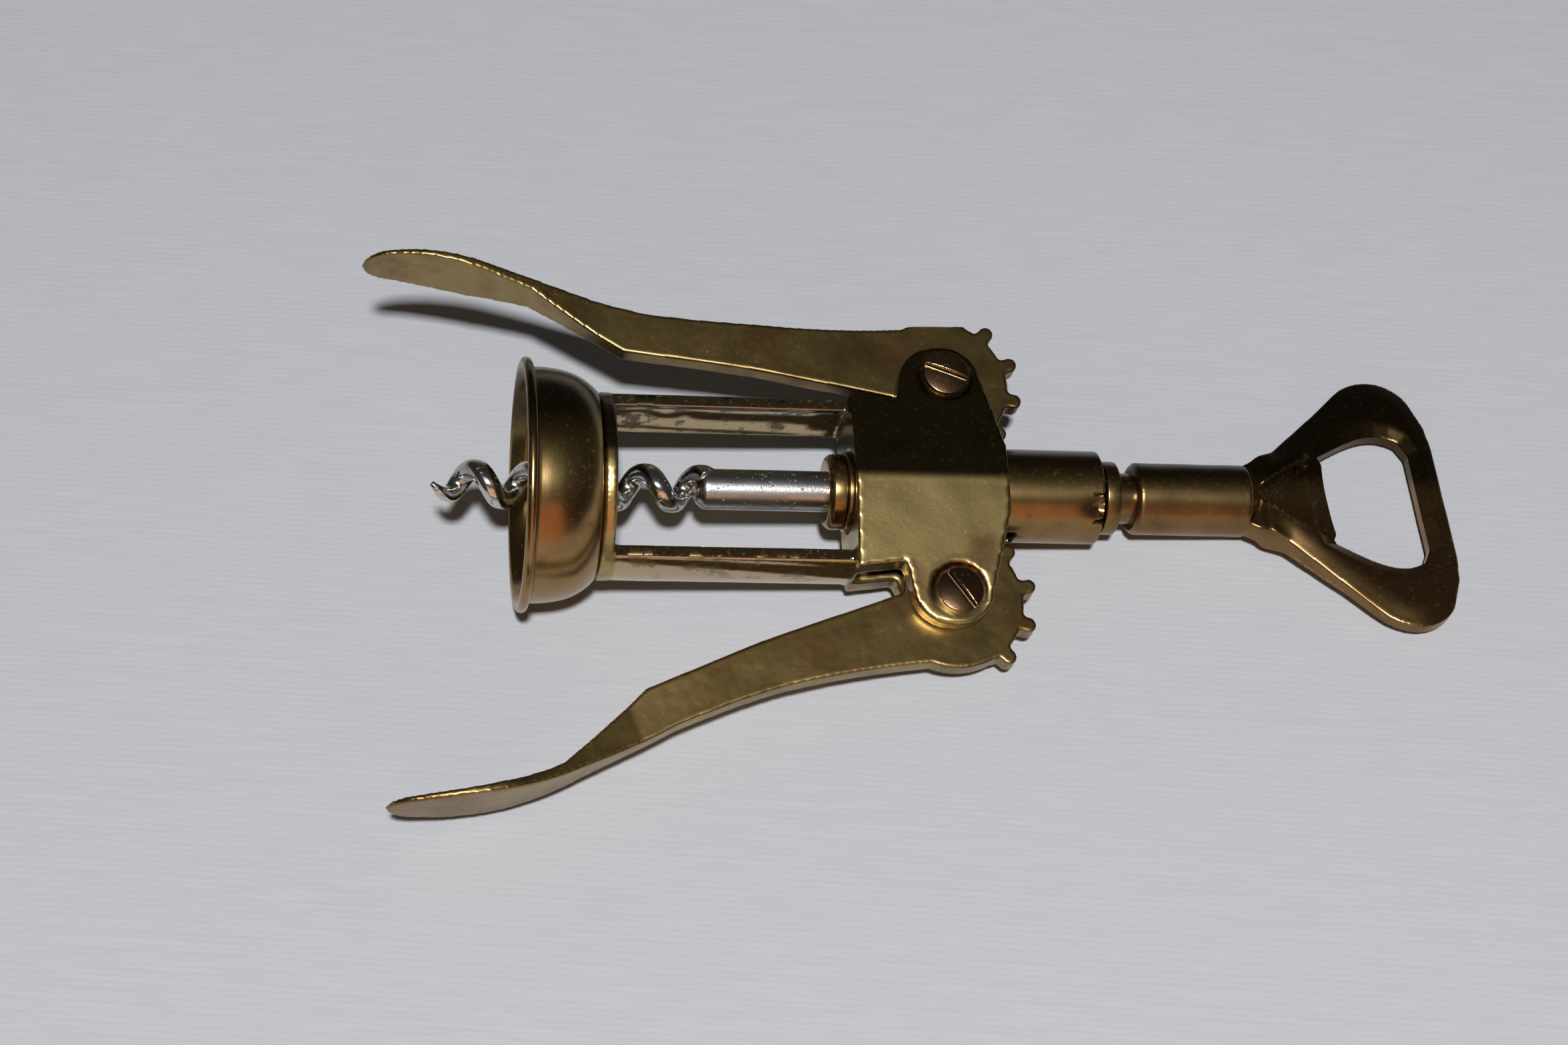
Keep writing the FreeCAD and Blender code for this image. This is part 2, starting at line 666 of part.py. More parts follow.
grooved(rack, "worm_socket", [
    ("nut_start - 1", "0"),
    ("nut_start - 1", "worm_shank_radius + seat_gap"),
    ("nut_start + worm_insert", "worm_shank_radius + seat_gap"),
    ("nut_start + worm_insert", "0"),
])
rack.Tip = rack.Group[-1]
pieces["rack_shaft"] = rack

# Stop washer: it meets the head and ends the stroke of the rack
washer = new_body("stop_washer")
turned(washer, "washer_turned", [
    ("washer_start", "journal_radius + pivot_clearance"),
    ("washer_start", "washer_radius - 0.3"),
    ("washer_start + 0.3", "washer_radius"),
    ("washer_start + washer_thickness", "washer_radius"),
    ("washer_start + washer_thickness", "journal_radius + pivot_clearance"),
])
pieces["stop_washer"] = washer

# End collar: it holds the washer and the shank of the worm on the rack
collar = new_body("end_collar")
turned(collar, "end_collar_turned", [
    ("nut_start", "worm_shank_radius + seat_gap"),
    ("nut_start", "collar_nut_radius - collar_nut_round", "collar_nut_round", -1),
    ("nut_start + collar_nut_round", "collar_nut_radius"),
    ("journal_start", "collar_nut_radius"),
    ("journal_start", "journal_radius + seat_gap"),
    ("nut_start + 1 - seat_gap", "journal_radius + seat_gap"),
    ("nut_start + 1 - seat_gap", "worm_shank_radius + seat_gap"),
])
pieces["end_collar"] = collar


def coil_place(along):
    """Middle of the worm's wire at a place along the axis, and its direction."""
    radius = value("worm_radius - worm_wire_radius")
    rate = 2 * math.pi / value("worm_pitch")
    angle = math.radians(value("worm_phase")) + rate * (along - value("worm_crest"))
    place = FreeCAD.Vector(along, radius * math.cos(angle), radius * math.sin(angle))
    heading = FreeCAD.Vector(1, -radius * rate * math.sin(angle), radius * rate * math.cos(angle))
    return place, heading.normalize()


def bend(start, corner, end):
    """Arc from start to end that is tangent to both lines to the corner."""
    first = FreeCAD.Vector(corner - start).normalize()
    second = FreeCAD.Vector(end - corner).normalize()
    half_cosine = math.sqrt((1 + first.dot(second)) / 2)
    chord_middle = (start + end) * 0.5
    top = chord_middle + (corner - chord_middle) * (half_cosine / (1 + half_cosine))
    return Part.Arc(start, top, end).toShape()


def coil_edges(start, end, steps):
    """Pairs of tangent arcs that follow the worm's helix from start to end."""
    edges = []
    length = (end - start) / steps
    for step in range(steps):
        here, leaving = coil_place(start + step * length)
        there, arriving = coil_place(start + (step + 1) * length)
        span = there - here
        both = leaving + arriving
        square = both.dot(both) - 4
        linear = -2 * span.dot(both)
        root = math.sqrt(linear ** 2 - 4 * square * span.dot(span))
        reach = (-linear - root) / (2 * square)
        first_corner = here + leaving * reach
        second_corner = there - arriving * reach
        middle = (first_corner + second_corner) * 0.5
        edges.append(bend(here, first_corner, middle))
        edges.append(bend(middle, second_corner, there))
    return edges


def wire_section(along, radius):
    """Round section of the wire, square to its path."""
    place, heading = coil_place(along)
    return Part.Wire([Part.Circle(place, heading, radius).toShape()])


def make_worm():
    """Steel worm: a tapered point, the coils and a straight shank."""
    tip = value("worm_tip")
    shank_start = value("worm_shank_start")
    wire_radius = value("worm_wire_radius")
    half_turn = value("worm_pitch") / 2
    taper_end = tip + half_turn
    coil_end = shank_start + wire_radius
    point = Part.Wire(coil_edges(tip, taper_end, 2)).makePipeShell(
        [wire_section(tip, wire_radius * 0.2), wire_section(taper_end, wire_radius)], True, False
    )
    steps = max(1, round((coil_end - taper_end) / half_turn))
    coil = Part.Wire(coil_edges(taper_end, coil_end, steps)).makePipeShell(
        [wire_section(taper_end, wire_radius)], True, False
    )
    shank_radius = value("worm_shank_radius")
    shank_end = value("nut_start + worm_insert") - 0.5
    axis = FreeCAD.Vector(1, 0, 0)
    shank = Part.makeCylinder(
        shank_radius, shank_end - shank_start - 1, FreeCAD.Vector(shank_start + 1, 0, 0), axis
    )
    nose = Part.makeCone(
        shank_radius - 1.2, shank_radius, 1.0, FreeCAD.Vector(shank_start, 0, 0), axis
    )
    return nose.fuse(shank).fuse(coil).fuse(point).removeSplitter()


worm = doc.addObject("Part::Feature", "worm")
worm.Label = "worm"
worm.Shape = make_worm()
pieces["worm"] = worm

# Handle: the barrel runs out into a flat loop that lifts crown caps
handle = new_body("handle")
barrel_end = "barrel_end"
turned(handle, "barrel", [
    ("neck_end", "tang_radius + seat_gap"),
    ("neck_end", "barrel_radius - 0.7"),
    ("neck_end + 0.7", "barrel_radius"),
    (barrel_end + " - 1.5", "barrel_radius"),
    (barrel_end + " + 1.5", "loop_half_thickness"),
    (barrel_end + " + 1.5", "0"),
    ("neck_end + tang_length + seat_gap", "0"),
    ("neck_end + tang_length + seat_gap", "tang_radius + seat_gap"),
])
loop_start = barrel_end + " - 1.5"
loop_shape = outline(handle, "loop_outline", "XY_Plane", [[
    (loop_start, "-loop_root_half + 0.6"),
    (loop_start + " + 6.5", "-loop_root_half - 2.9"),
    ("loop_end - 20", "-loop_half_width + 7.4"),
    ("loop_end - 15.2", "-loop_half_width + 2.6", "7.8", 1),
    ("loop_end - 2.6", "-loop_half_width + 4"),
    ("loop_end - 0.6", "-loop_half_width + 9.3"),
    ("loop_end", "-loop_half_width + 14"),
    ("loop_end", "loop_half_width - 14"),
    ("loop_end - 0.6", "loop_half_width - 9.3"),
    ("loop_end - 2.6", "loop_half_width - 4", "7.8", 1),
    ("loop_end - 15.2", "loop_half_width - 2.6"),
    ("loop_end - 20", "loop_half_width - 7.4"),
    (loop_start + " + 6.5", "loop_root_half + 2.9"),
    (loop_start, "loop_root_half - 0.6"),
]])
pad(handle, "loop", loop_shape, "2 * loop_half_thickness")
opening_end = "loop_end - loop_bar"
opening = outline(handle, "opening_outline", "XY_Plane", [[
    ("opening_start", "-opening_half_width + 5.2"),
    ("opening_start + 7", "-opening_half_width + 1.3", "7.3", 1),
    (opening_end + " - 1.3", "-opening_half_width + 1.3"),
    (opening_end, "-opening_half_width + 3.9"),
    (opening_end, "opening_half_width - 3.9"),
    (opening_end + " - 1.3", "opening_half_width - 1.3", "7.3", 1),
    ("opening_start + 7", "opening_half_width - 1.3"),
    ("opening_start", "opening_half_width - 5.2"),
]])
pocket(handle, "opening", opening, "8 * loop_half_thickness")
web_edge = "opening_start - web_band"
for label, low, high in (
    ("web_above", "web_half_thickness", "loop_half_thickness + 5"),
    ("web_below", "-web_half_thickness", "-loop_half_thickness - 5"),
):
    sunk = outline(handle, label + "_outline", "XY_Plane", [[
        ("web_start", "0"),
        (web_edge, "-opening_half_width + 6.5"),
        (web_edge, "opening_half_width - 6.5"),
    ]])
    raised_pocket(handle, label, sunk, low, high)
handle.Tip = handle.Group[-1]
pieces["handle"] = handle

doc.recompute()

# Places in the tool's own frame
pivot_x = value("pivot_along")
pivot_y = value("pivot_across")
about_z = FreeCAD.Vector(0, 0, 1)
about_x = FreeCAD.Vector(1, 0, 0)
upper_turn = FreeCAD.Rotation(about_z, -value("upper_angle"))
lower_turn = FreeCAD.Rotation(about_z, value("lower_angle"))
flipped = FreeCAD.Rotation(about_x, 180)
in_tool = {name: FreeCAD.Placement() for name in pieces}
in_tool["wing_upper"] = FreeCAD.Placement(FreeCAD.Vector(pivot_x, pivot_y, 0), upper_turn)
in_tool["wing_lower"] = FreeCAD.Placement(
    FreeCAD.Vector(pivot_x, -pivot_y, 0), lower_turn.multiply(flipped)
)
upper_slot = FreeCAD.Rotation(about_z, 70)
lower_slot = FreeCAD.Rotation(about_z, 35)
in_tool["pivot_screw_upper"] = FreeCAD.Placement(FreeCAD.Vector(pivot_x, pivot_y, 0), upper_slot)
in_tool["pivot_screw_lower"] = FreeCAD.Placement(FreeCAD.Vector(pivot_x, -pivot_y, 0), lower_slot)

# The tool lies on the rim of its bell and on the end of its loop
rim_middle = value("rim_length") / 2
drop = value("rim_radius - loop_half_thickness")
reach = value("loop_end") - rim_middle
lie = FreeCAD.Rotation(FreeCAD.Vector(0, 1, 0), math.degrees(math.atan2(drop, reach)))
roll = FreeCAD.Rotation(about_x, value("frame_roll"))
spindle = ("rack_shaft", "end_collar", "worm", "handle")
for name, piece in pieces.items():
    rotation = lie if name in spindle else lie.multiply(roll)
    piece.Placement = FreeCAD.Placement(FreeCAD.Vector(), rotation).multiply(in_tool[name])

doc.recompute()
box = FreeCAD.BoundBox()
for piece in pieces.values():
    box.add(piece.Shape.optimalBoundingBox(False))
ground = FreeCAD.Vector(-box.Center.x, -box.Center.y, -box.ZMin)
for piece in pieces.values():
    placed = piece.Placement
    placed.Base = placed.Base + ground
    piece.Placement = placed
doc.recompute()

for item in doc.Objects:
    bad = [state for state in item.State if state in ("Invalid", "Error")]
    if bad:
        raise RuntimeError("%s failed: %s" % (item.Name, bad))
for name, piece in pieces.items():
    if piece.Shape.isNull() or not piece.Shape.isValid():
        raise RuntimeError("%s has no valid solid" % name)
    if len(piece.Shape.Solids) != 1:
        print("%s is in %d solids" % (name, len(piece.Shape.Solids)))
    print("%-20s %9.1f mm3" % (name, piece.Shape.Volume))

os.makedirs("parts", exist_ok=True)
for name, piece in pieces.items():
    piece.Shape.exportStep(os.path.join("parts", name + ".step"))
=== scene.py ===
"""Looks of a brass wing corkscrew that lies on a pale table.

Each piece is drawn in millimetres in the axes of the tool itself: X runs along
the screw from the mouth of the bell to the handle, and Z is square to the
plane in which the wings swing. A matrix made from the joints puts it in place.
"""

import json
import logging
import math
from dataclasses import dataclass
from enum import Enum
from typing import Any, Iterable, Sequence

import bmesh
import bpy
from mathutils import Matrix, Vector, geometry, noise


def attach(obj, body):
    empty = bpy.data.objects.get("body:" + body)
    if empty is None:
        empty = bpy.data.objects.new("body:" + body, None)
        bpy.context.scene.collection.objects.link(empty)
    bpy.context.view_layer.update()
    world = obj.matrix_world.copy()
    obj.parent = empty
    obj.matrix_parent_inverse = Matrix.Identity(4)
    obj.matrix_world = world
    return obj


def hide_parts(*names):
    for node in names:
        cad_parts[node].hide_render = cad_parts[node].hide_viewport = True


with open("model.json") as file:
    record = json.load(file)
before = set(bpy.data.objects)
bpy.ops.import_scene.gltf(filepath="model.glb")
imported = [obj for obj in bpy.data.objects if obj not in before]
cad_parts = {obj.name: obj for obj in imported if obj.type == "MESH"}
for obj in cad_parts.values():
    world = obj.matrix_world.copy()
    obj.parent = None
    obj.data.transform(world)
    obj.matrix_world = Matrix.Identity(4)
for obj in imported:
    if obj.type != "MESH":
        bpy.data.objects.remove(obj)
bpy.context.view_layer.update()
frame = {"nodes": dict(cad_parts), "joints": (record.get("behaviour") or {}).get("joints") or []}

MM = 0.001
PHOTO_WIDTH = 2352
SENSOR_WIDTH = 36.0
SHARP_ANGLE = 72
STEP_IN = 0.5
STEP_BACK = -0.515
log = logging.getLogger("corkscrew")
Colour = tuple[float, float, float]
Place = tuple[float, float, float]
Solid = bmesh.types.BMesh
Material = bpy.types.Material


class Body(Enum):
    """Bodies of the corkscrew that move on their own."""

    FRAME = "frame"
    CARRIER = "rack_carrier"
    SPINDLE = "spindle"
    UPPER = "upper_wing"
    LOWER = "lower_wing"


class Slot(Enum):
    """Finishes that the record names."""

    BRASS = "brass"
    TURNED = "brass_turned"
    SCREW = "screw_brass"
    STEEL = "steel"


@dataclass(frozen=True)
class ToolPlaces:
    """Sizes that place the parts of the tool on its axis, in millimetres and degrees."""

    pivot_along: float = 71.7
    upper_angle: float = 11.5
    lower_angle: float = 21.1
    head_start: float = 55.1
    sleeve_end: float = 97.4
    neck_end: float = 103.6
    barrel_end: float = 125.0
    loop_end: float = 159.3

    def joint(self, name: str) -> dict[str, Any]:
        """Find a joint of the frame by its name."""
        return next(joint for joint in frame["joints"] if joint["name"] == name)

    def axes(self, origin: Vector, along: Vector, up: Vector) -> Matrix:
        """Make the matrix from tool millimetres to row metres.

        Args:
            origin: Place of the tool's origin in the row.
            along: Direction of the tool's X axis.
            up: Direction of the tool's Z axis.

        Returns:
            The matrix, with the scale in it.
        """
        across = up.cross(along)
        turn = Matrix((along, across, up)).transposed().to_4x4()
        return Matrix.Translation(origin) @ turn @ Matrix.Scale(MM, 4)

    def along(self) -> Vector:
        """Direction of the axis of the screw."""
        return Vector(self.joint("handle_turn")["axis"]).normalized()

    def origin(self) -> Vector:
        """Place of the middle of the mouth of the bell."""
        on_axis = Vector(self.joint("handle_turn")["pos_m"])
        return on_axis - self.along() * self.pivot_along * MM

    def frame_axes(self) -> Matrix:
        """Axes of the frame, which leans over."""
        up = -Vector(self.joint("upper_wing_swing")["axis"]).normalized()
        return self.axes(self.origin(), self.along(), up)

    def spindle_axes(self) -> Matrix:
        """Axes of the handle, rack and worm, which lie level."""
        up = self.along().cross(Vector((0, 1, 0))).normalized()
        return self.axes(self.origin(), self.along(), up)

    def wing_axes(self, upper: bool) -> Matrix:
        """Axes of a wing, with its pivot at the origin and its arm along -X.

        Args:
            upper: True for the wing at the far side.

        Returns:
            The matrix from the wing's millimetres to row metres.
        """
        name = "upper_wing_swing" if upper else "lower_wing_swing"
        place = Vector(self.joint(name)["pos_m"])
        turn = self.frame_axes().to_3x3().normalized().to_4x4()
        if upper:
            swing = Matrix.Rotation(math.radians(-self.upper_angle), 4, "Z")
        else:
            swing = Matrix.Rotation(math.radians(self.lower_angle), 4, "Z")
            swing = swing @ Matrix.Rotation(math.pi, 4, "X")
        return Matrix.Translation(place) @ turn @ swing @ Matrix.Scale(MM, 4)


PLACES = ToolPlaces()


class Signal:
    """A shader value that Python's own operators work on."""

    def __init__(self, paint: "Paint", socket: bpy.types.NodeSocket) -> None:
        """Keep the socket and the paint that it belongs to."""
        self.paint = paint
        self.socket = socket

    def combine(self, operation: str, first: Any, second: Any = 0.0) -> "Signal":
        """Add a Math node on two values.

        Args:
            operation: Name of the node's operation.
            first: A number or a signal.
            second: A number or a signal.

        Returns:
            The result as a signal.
        """
        made = self.paint.node("ShaderNodeMath", {"operation": operation}, {0: first, 1: second})
        return Signal(self.paint, made.outputs[0])

    def __add__(self, other: Any) -> "Signal":
        """Add a value."""
        return self.combine("ADD", self, other)

    __radd__ = __add__

    def __sub__(self, other: Any) -> "Signal":
        """Take a value away."""
        return self.combine("SUBTRACT", self, other)

    def __rsub__(self, other: Any) -> "Signal":
        """Take this signal away from a value."""
        return self.combine("SUBTRACT", other, self)

    def __mul__(self, other: Any) -> "Signal":
        """Multiply by a value."""
        return self.combine("MULTIPLY", self, other)

    __rmul__ = __mul__

    def between(self, low: float, high: float) -> "Signal":
        """Spread the values from low to high smoothly over 0 to 1.

        Args:
            low: Value that becomes 0.
            high: Value that becomes 1.

        Returns:
            The spread signal.
        """
        inputs = {"Value": self, "From Min": low, "From Max": high}
        settings = {"interpolation_type": "SMOOTHSTEP"}
        made = self.paint.node("ShaderNodeMapRange", settings, inputs)
        return Signal(self.paint, made.outputs["Result"])


class Paint:
    """One procedural material under construction."""

    def __init__(self, name: str) -> None:
        """Start an empty material."""
        self.material = bpy.data.materials.new(name)
        self.material.use_nodes = True
        self.tree = self.material.node_tree
        self.tree.nodes.clear()

    def node(self, kind: str, settings: dict[str, Any], inputs: dict[Any, Any]) -> bpy.types.Node:
        """Add a node of any kind.

        Args:
            kind: Type of the node.
            settings: Properties, which are set first.
            inputs: Values, signals or sockets by the input's name or number.

        Returns:
            The new node.
        """
        made = self.tree.nodes.new(kind)
        for key, setting in settings.items():
            setattr(made, key, setting)
        for key, given in inputs.items():
            socket = made.inputs[key]
            if isinstance(given, Signal):
                self.tree.links.new(given.socket, socket)
            elif isinstance(given, bpy.types.NodeSocket):
                self.tree.links.new(given, socket)
            else:
                socket.default_value = given
        return made

    def coordinates(self, turn: Place = (0, 0, 0), scale: Place = (1, 1, 1)) -> Any:
        """Object coordinates, turned and stretched.

        Args:
            turn: Angles of the turn, in radians.
            scale: Stretch along the three axes.

        Returns:
            The socket that holds the coordinates.
        """
        where = self.node("ShaderNodeTexCoord", {}, {}).outputs["Object"]
        turned = self.node("ShaderNodeMapping", {}, {"Vector": where, "Rotation": turn})
        made = self.node("ShaderNodeMapping", {}, {"Vector": turned.outputs[0], "Scale": scale})
        return made.outputs[0]

    def noise(self, where: Any, scale: float, detail: float = 4.0, rough: float = 0.55) -> Signal:
        """Fractal noise of a given grain.

        Args:
            where: Socket with the coordinates.
            scale: Waves in a metre.
            detail: Octaves of the noise.
            rough: Weight of the finer octaves.

        Returns:
            The noise, about 0.5 on average.
        """
        inputs = {"Vector": where, "Scale": scale, "Detail": detail, "Roughness": rough}
        return Signal(self, self.node("ShaderNodeTexNoise", {}, inputs).outputs[0])

    def mix(self, share: Any, first: Any, second: Any) -> Any:
        """Mix two colours.

        Args:
            share: Share of the second colour.
            first: Colour or socket.
            second: Colour or socket.

        Returns:
            The socket that holds the mixed colour.
        """
        inputs = {0: share, 6: tone(first), 7: tone(second)}
        return self.node("ShaderNodeMix", {"data_type": "RGBA"}, inputs).outputs[2]

    def bump(self, height: Signal, depth: float, below: Any = None) -> Any:
        """Raise the surface by a height signal.

        Args:
            height: Signal from 0 to 1.
            depth: Height in metres that 1 stands for.
            below: Normal socket of an earlier bump.

        Returns:
            The socket that holds the normal.
        """
        inputs = {"Height": height, "Distance": depth, "Strength": 1.0}
        if below is not None:
            inputs["Normal"] = below
        return self.node("ShaderNodeBump", {}, inputs).outputs[0]

    def reach(self, axis: Vector) -> Signal:
        """Distance from the middle of the mouth of the bell in one direction.

        Args:
            axis: The direction in the row.

        Returns:
            The distance in millimetres.
        """
        inputs = {0: self.coordinates(), 1: tuple(axis)}
        made = self.node("ShaderNodeVectorMath", {"operation": "DOT_PRODUCT"}, inputs)
        return (Signal(self, made.outputs["Value"]) - PLACES.origin().dot(axis)) * (1.0 / MM)

    def edges(self) -> Signal:
        """How sharply the surface stands out at each point, about 0.5 where it is flat."""
        made = self.node("ShaderNodeNewGeometry", {}, {})
        return Signal(self, made.outputs["Pointiness"])

    def finish(self, inputs: dict[str, Any]) -> Material:
        """Close the material with its shader.

        Args:
            inputs: Values or links of the shader's sockets.

        Returns:
            The finished material.
        """
        shader = self.node("ShaderNodeBsdfPrincipled", {}, inputs)
        self.node("ShaderNodeOutputMaterial", {}, {"Surface": shader.outputs[0]})
        return self.material


def tone(colour: Any) -> Any:
    """Give a plain colour its fourth number, and leave a socket alone."""
    if isinstance(colour, tuple) and len(colour) == 3:
        return (*colour, 1.0)
    return colour


@dataclass(frozen=True)
class AgedBrass:
    """Brass with olive and brown tarnish, grime in its hollows, a painted shade on its
    upper side, a painted warm reflection on its lower side, and bright edges that
    are partly wear and partly a painted highlight.

    The ranges of the painted shade, the painted warm reflection and the polish are
    places in millimetres: the first is measured across the tool, toward lean, and
    the others along its axis.
    """

    name: str
    bright: Colour = (0.34, 0.24, 0.09)
    olive: Colour = (0.125, 0.089, 0.034)
    copper: Colour = (0.22, 0.12, 0.05)
    # Dark colour of the grime in hollows and specks, also used for the painted shade on the upper
    # side.
    dirt_and_shade: Colour = (0.022, 0.015, 0.009)
    rubbed: Colour = (0.50, 0.39, 0.225)
    tarnish: float = 0.55
    smooth: float = 0.24
    dull: float = 0.42
    grain: float = 0.000030
    grain_scale: float = 2600.0
    turning: float = 0.0
    # Share of the edge brightening, which is partly wear and partly a painted highlight.
    edge_wear_and_glint: float = 1.0
    spots: float = 0.5
    polished: tuple[float, float] = (0.0, 0.0)
    polished_fade: float = 0.6
    lean: float = 33.9
    # Range across the tool over which the painted shade comes in; it also bounds the painted warm
    # reflection.
    shaded: tuple[float, float] = (90.0, 91.0)
    # Range along the axis over which the painted warm reflection fades out.
    warm_glow_range: tuple[float, float] = (900.0, 901.0)

    def make(self) -> Material:
        """Build the material.

        Returns:
            The finished material.
        """
        paint = Paint(self.name)
        where = paint.coordinates()
        clouds = paint.noise(where, 55, 5)
        blotches = paint.noise(where, 210, 7, 0.62)
        speckle = paint.noise(where, 1300, 4, 0.6)
        warm = paint.noise(paint.coordinates(turn=(0.7, 0.3, 1.1)), 90, 4)
        edges = paint.edges()

        cover = (clouds * 0.55 + blotches * 0.45).between(0.62 - 0.3 * self.tarnish, 0.70)
        colour = paint.mix(cover, self.bright, self.olive)
        colour = paint.mix(warm.between(0.50, 0.68) * 0.65, colour, self.copper)
        # Painted shade: the side toward lean is darkened toward the dark grime colour, standing for
        # the dark room reflected there.
        lean = math.radians(self.lean)
        axis = PLACES.along()
        upward = Vector((0, math.cos(lean), math.sin(lean)))
        above = paint.reach((upward - axis * upward.dot(axis)).normalized())
        dark = above.between(*self.shaded)
        colour = paint.mix(dark * 0.82, colour, self.dirt_and_shade)
        # Painted warm reflection: the lower side is mixed toward copper, up to a given place along
        # the axis, for the glow of warm lamps.
        below = 1.0 - above.between(-0.3 * self.shaded[1], 0.1 * self.shaded[1])
        below = below * (1.0 - paint.reach(axis).between(*self.warm_glow_range))
        colour = paint.mix(below * 0.55, colour, self.copper)
        fine = speckle.between(0.56, 0.74) * self.spots
        colour = paint.mix(fine * blotches.between(0.40, 0.62), colour, self.dirt_and_shade)
        hollows = 1.0 - edges.between(0.40, 0.495)
        colour = paint.mix(hollows * 0.85, colour, self.dirt_and_shade)
        # Edges that stand out are brightened: partly wear of the tarnish, partly a painted
        # highlight along the edges.
        wear_and_glint = edges.between(0.53, 0.64) * self.edge_wear_and_glint
        colour = paint.mix(wear_and_glint, colour, self.bright)

        rough = self.smooth + (self.dull - self.smooth) * (cover * 0.6 + fine * 0.6)
        rough = rough + hollows * 0.2 - wear_and_glint * 0.05
        if self.polished[1] > 0:
            along = paint.reach(axis)
            start, end = self.polished
            share = along.between(start, start + self.polished_fade)
            share = share * (1.0 - along.between(end - self.polished_fade, end))
            stains = blotches.between(0.53, 0.60) * 0.8
            colour = paint.mix(share * (1.0 - stains), colour, self.rubbed)
            rough = rough - share * 0.22 + share * stains * 0.16
        normal = paint.bump(paint.noise(where, self.grain_scale, 5, 0.6), self.grain)
        normal = paint.bump(paint.noise(where, 420, 3), self.grain * 2.2, normal)
        if self.turning > 0:
            tilt = math.atan2(PLACES.along().z, PLACES.along().x)
            rings = paint.coordinates(turn=(0, tilt, 0), scale=(1.0, 0.04, 0.04))
            normal = paint.bump(paint.noise(rings, 5200, 3, 0.6), self.turning, normal)
        else:
            strokes = paint.coordinates(turn=(0, 0, 0.5), scale=(0.10, 1.0, 1.0))
            normal = paint.bump(paint.noise(strokes, 2900, 3, 0.6), self.grain * 0.5, normal)
        metal = 1.0 - fine * 0.35
        return paint.finish(
            {"Base Color": colour, "Roughness": rough, "Metallic": metal, "Normal": normal}
        )


@dataclass(frozen=True)
class PittedSteel:
    """Worn grey steel with dark pits and brown stains."""

    name: str
    bright: Colour = (0.66, 0.655, 0.63)
    grey: Colour = (0.40, 0.395, 0.38)
    stain: Colour = (0.20, 0.13, 0.08)
    shank: Colour = (0.30, 0.30, 0.295)
    shank_range: tuple[float, float] = (29.2, 31.2)

    def make(self) -> Material:
        """Build the material.

        Returns:
            The finished material.
        """
        paint = Paint(self.name)
        where = paint.coordinates()
        clouds = paint.noise(where, 150, 5)
        pits = paint.noise(where, 950, 4, 0.6)
        fine = paint.noise(where, 2600, 3)
        colour = paint.mix(clouds.between(0.4, 0.65), self.bright, self.grey)
        sunk = pits.between(0.62, 0.69)
        colour = paint.mix(sunk * 0.8, colour, self.stain)
        shank = paint.reach(PLACES.along()).between(*self.shank_range)
        colour = paint.mix(shank * 0.55, colour, self.shank)
        rough = 0.12 + shank * 0.16 + clouds.between(0.35, 0.7) * 0.10 + sunk * 0.25
        height = 1.0 - sunk
        normal = paint.bump(height, 0.00006)
        normal = paint.bump(fine, 0.000025, normal)
        metal = 1.0 - sunk * 0.4
        return paint.finish(
            {"Base Color": colour, "Roughness": rough, "Metallic": metal, "Normal": normal}
        )


@dataclass(frozen=True)
class TableCloth:
    """Pale woven cover of the table."""

    name: str = "table_cover"
    pale: Colour = (0.54, 0.555, 0.58)
    deep: Colour = (0.50, 0.515, 0.54)
    rib: float = 0.0011
    wave_share: float = 0.314

    def make(self) -> Material:
        """Build the material.

        Returns:
            The finished material.
        """
        paint = Paint(self.name)
        turn = (0, 0, math.radians(Studio.yaw))
        inputs = {"Vector": paint.coordinates(turn=turn), "Scale": self.wave_share / self.rib}
        inputs |= {"Distortion": 1.2, "Detail": 2.0, "Detail Scale": 0.6}
        ribs = paint.node("ShaderNodeTexWave", {"bands_direction": "Y"}, inputs)
        slubs = paint.noise(paint.coordinates(turn=turn, scale=(0.12, 1.0, 1.0)), 620, 3)
        grit = paint.noise(paint.coordinates(), 2100, 2)
        weave = Signal(paint, ribs.outputs[1]) * 0.22 + slubs * 0.8 + grit * 0.6
        colour = paint.mix(weave.between(0.5, 1.2), self.deep, self.pale)
        normal = paint.bump(weave, 0.000035)
        return paint.finish({"Base Color": colour, "Roughness": 0.9, "Normal": normal})


def arc(
    centre: tuple[float, float], radius: float, start: float, end: float, steps: int
) -> list[Place]:
    """Points on an arc in a lathe outline.

    Args:
        centre: Place of the middle, as (along, radius).
        radius: Radius of the arc.
        start: First angle in degrees, from +X toward +R.
        end: Last angle in degrees.
        steps: Number of pieces in the arc.

    Returns:
        The points, each (along, radius, 0).
    """
    along, across = centre
    angles = [math.radians(start + (end - start) * step / steps) for step in range(steps + 1)]
    return [(along + radius * math.cos(a), across + radius * math.sin(a), 0.0) for a in angles]


def lathe(corners: Sequence[Place], steps: int) -> Solid:
    """Turn a closed outline about the X axis.

    Args:
        corners: Corners as (along, radius, rounding), in millimetres.
        steps: Facets round the axis.

    Returns:
        The turned solid.
    """
    solid = bmesh.new()
    verts = [solid.verts.new((x, r, 0.0)) for x, r, _ in corners]
    solid.faces.new(verts)
    for vert, (_, _, rounding) in zip(verts, corners):
        if rounding > 0:
            shape = {"offset": rounding, "segments": 4, "profile": 0.5, "affect": "VERTICES"}
            bmesh.ops.bevel(solid, geom=[vert], material=-1, **shape)
    bmesh.ops.delete(solid, geom=list(solid.faces), context="FACES_ONLY")
    outline = list(solid.verts) + list(solid.edges)
    about = {"cent": (0, 0, 0), "axis": (1, 0, 0), "angle": 2 * math.pi}
    bmesh.ops.spin(solid, geom=outline, steps=steps, use_merge=True, **about)
    bmesh.ops.remove_doubles(solid, verts=solid.verts, dist=1e-4)
    bmesh.ops.dissolve_degenerate(solid, dist=1e-5, edges=solid.edges)
    bmesh.ops.recalc_face_normals(solid, faces=solid.faces)
    return solid


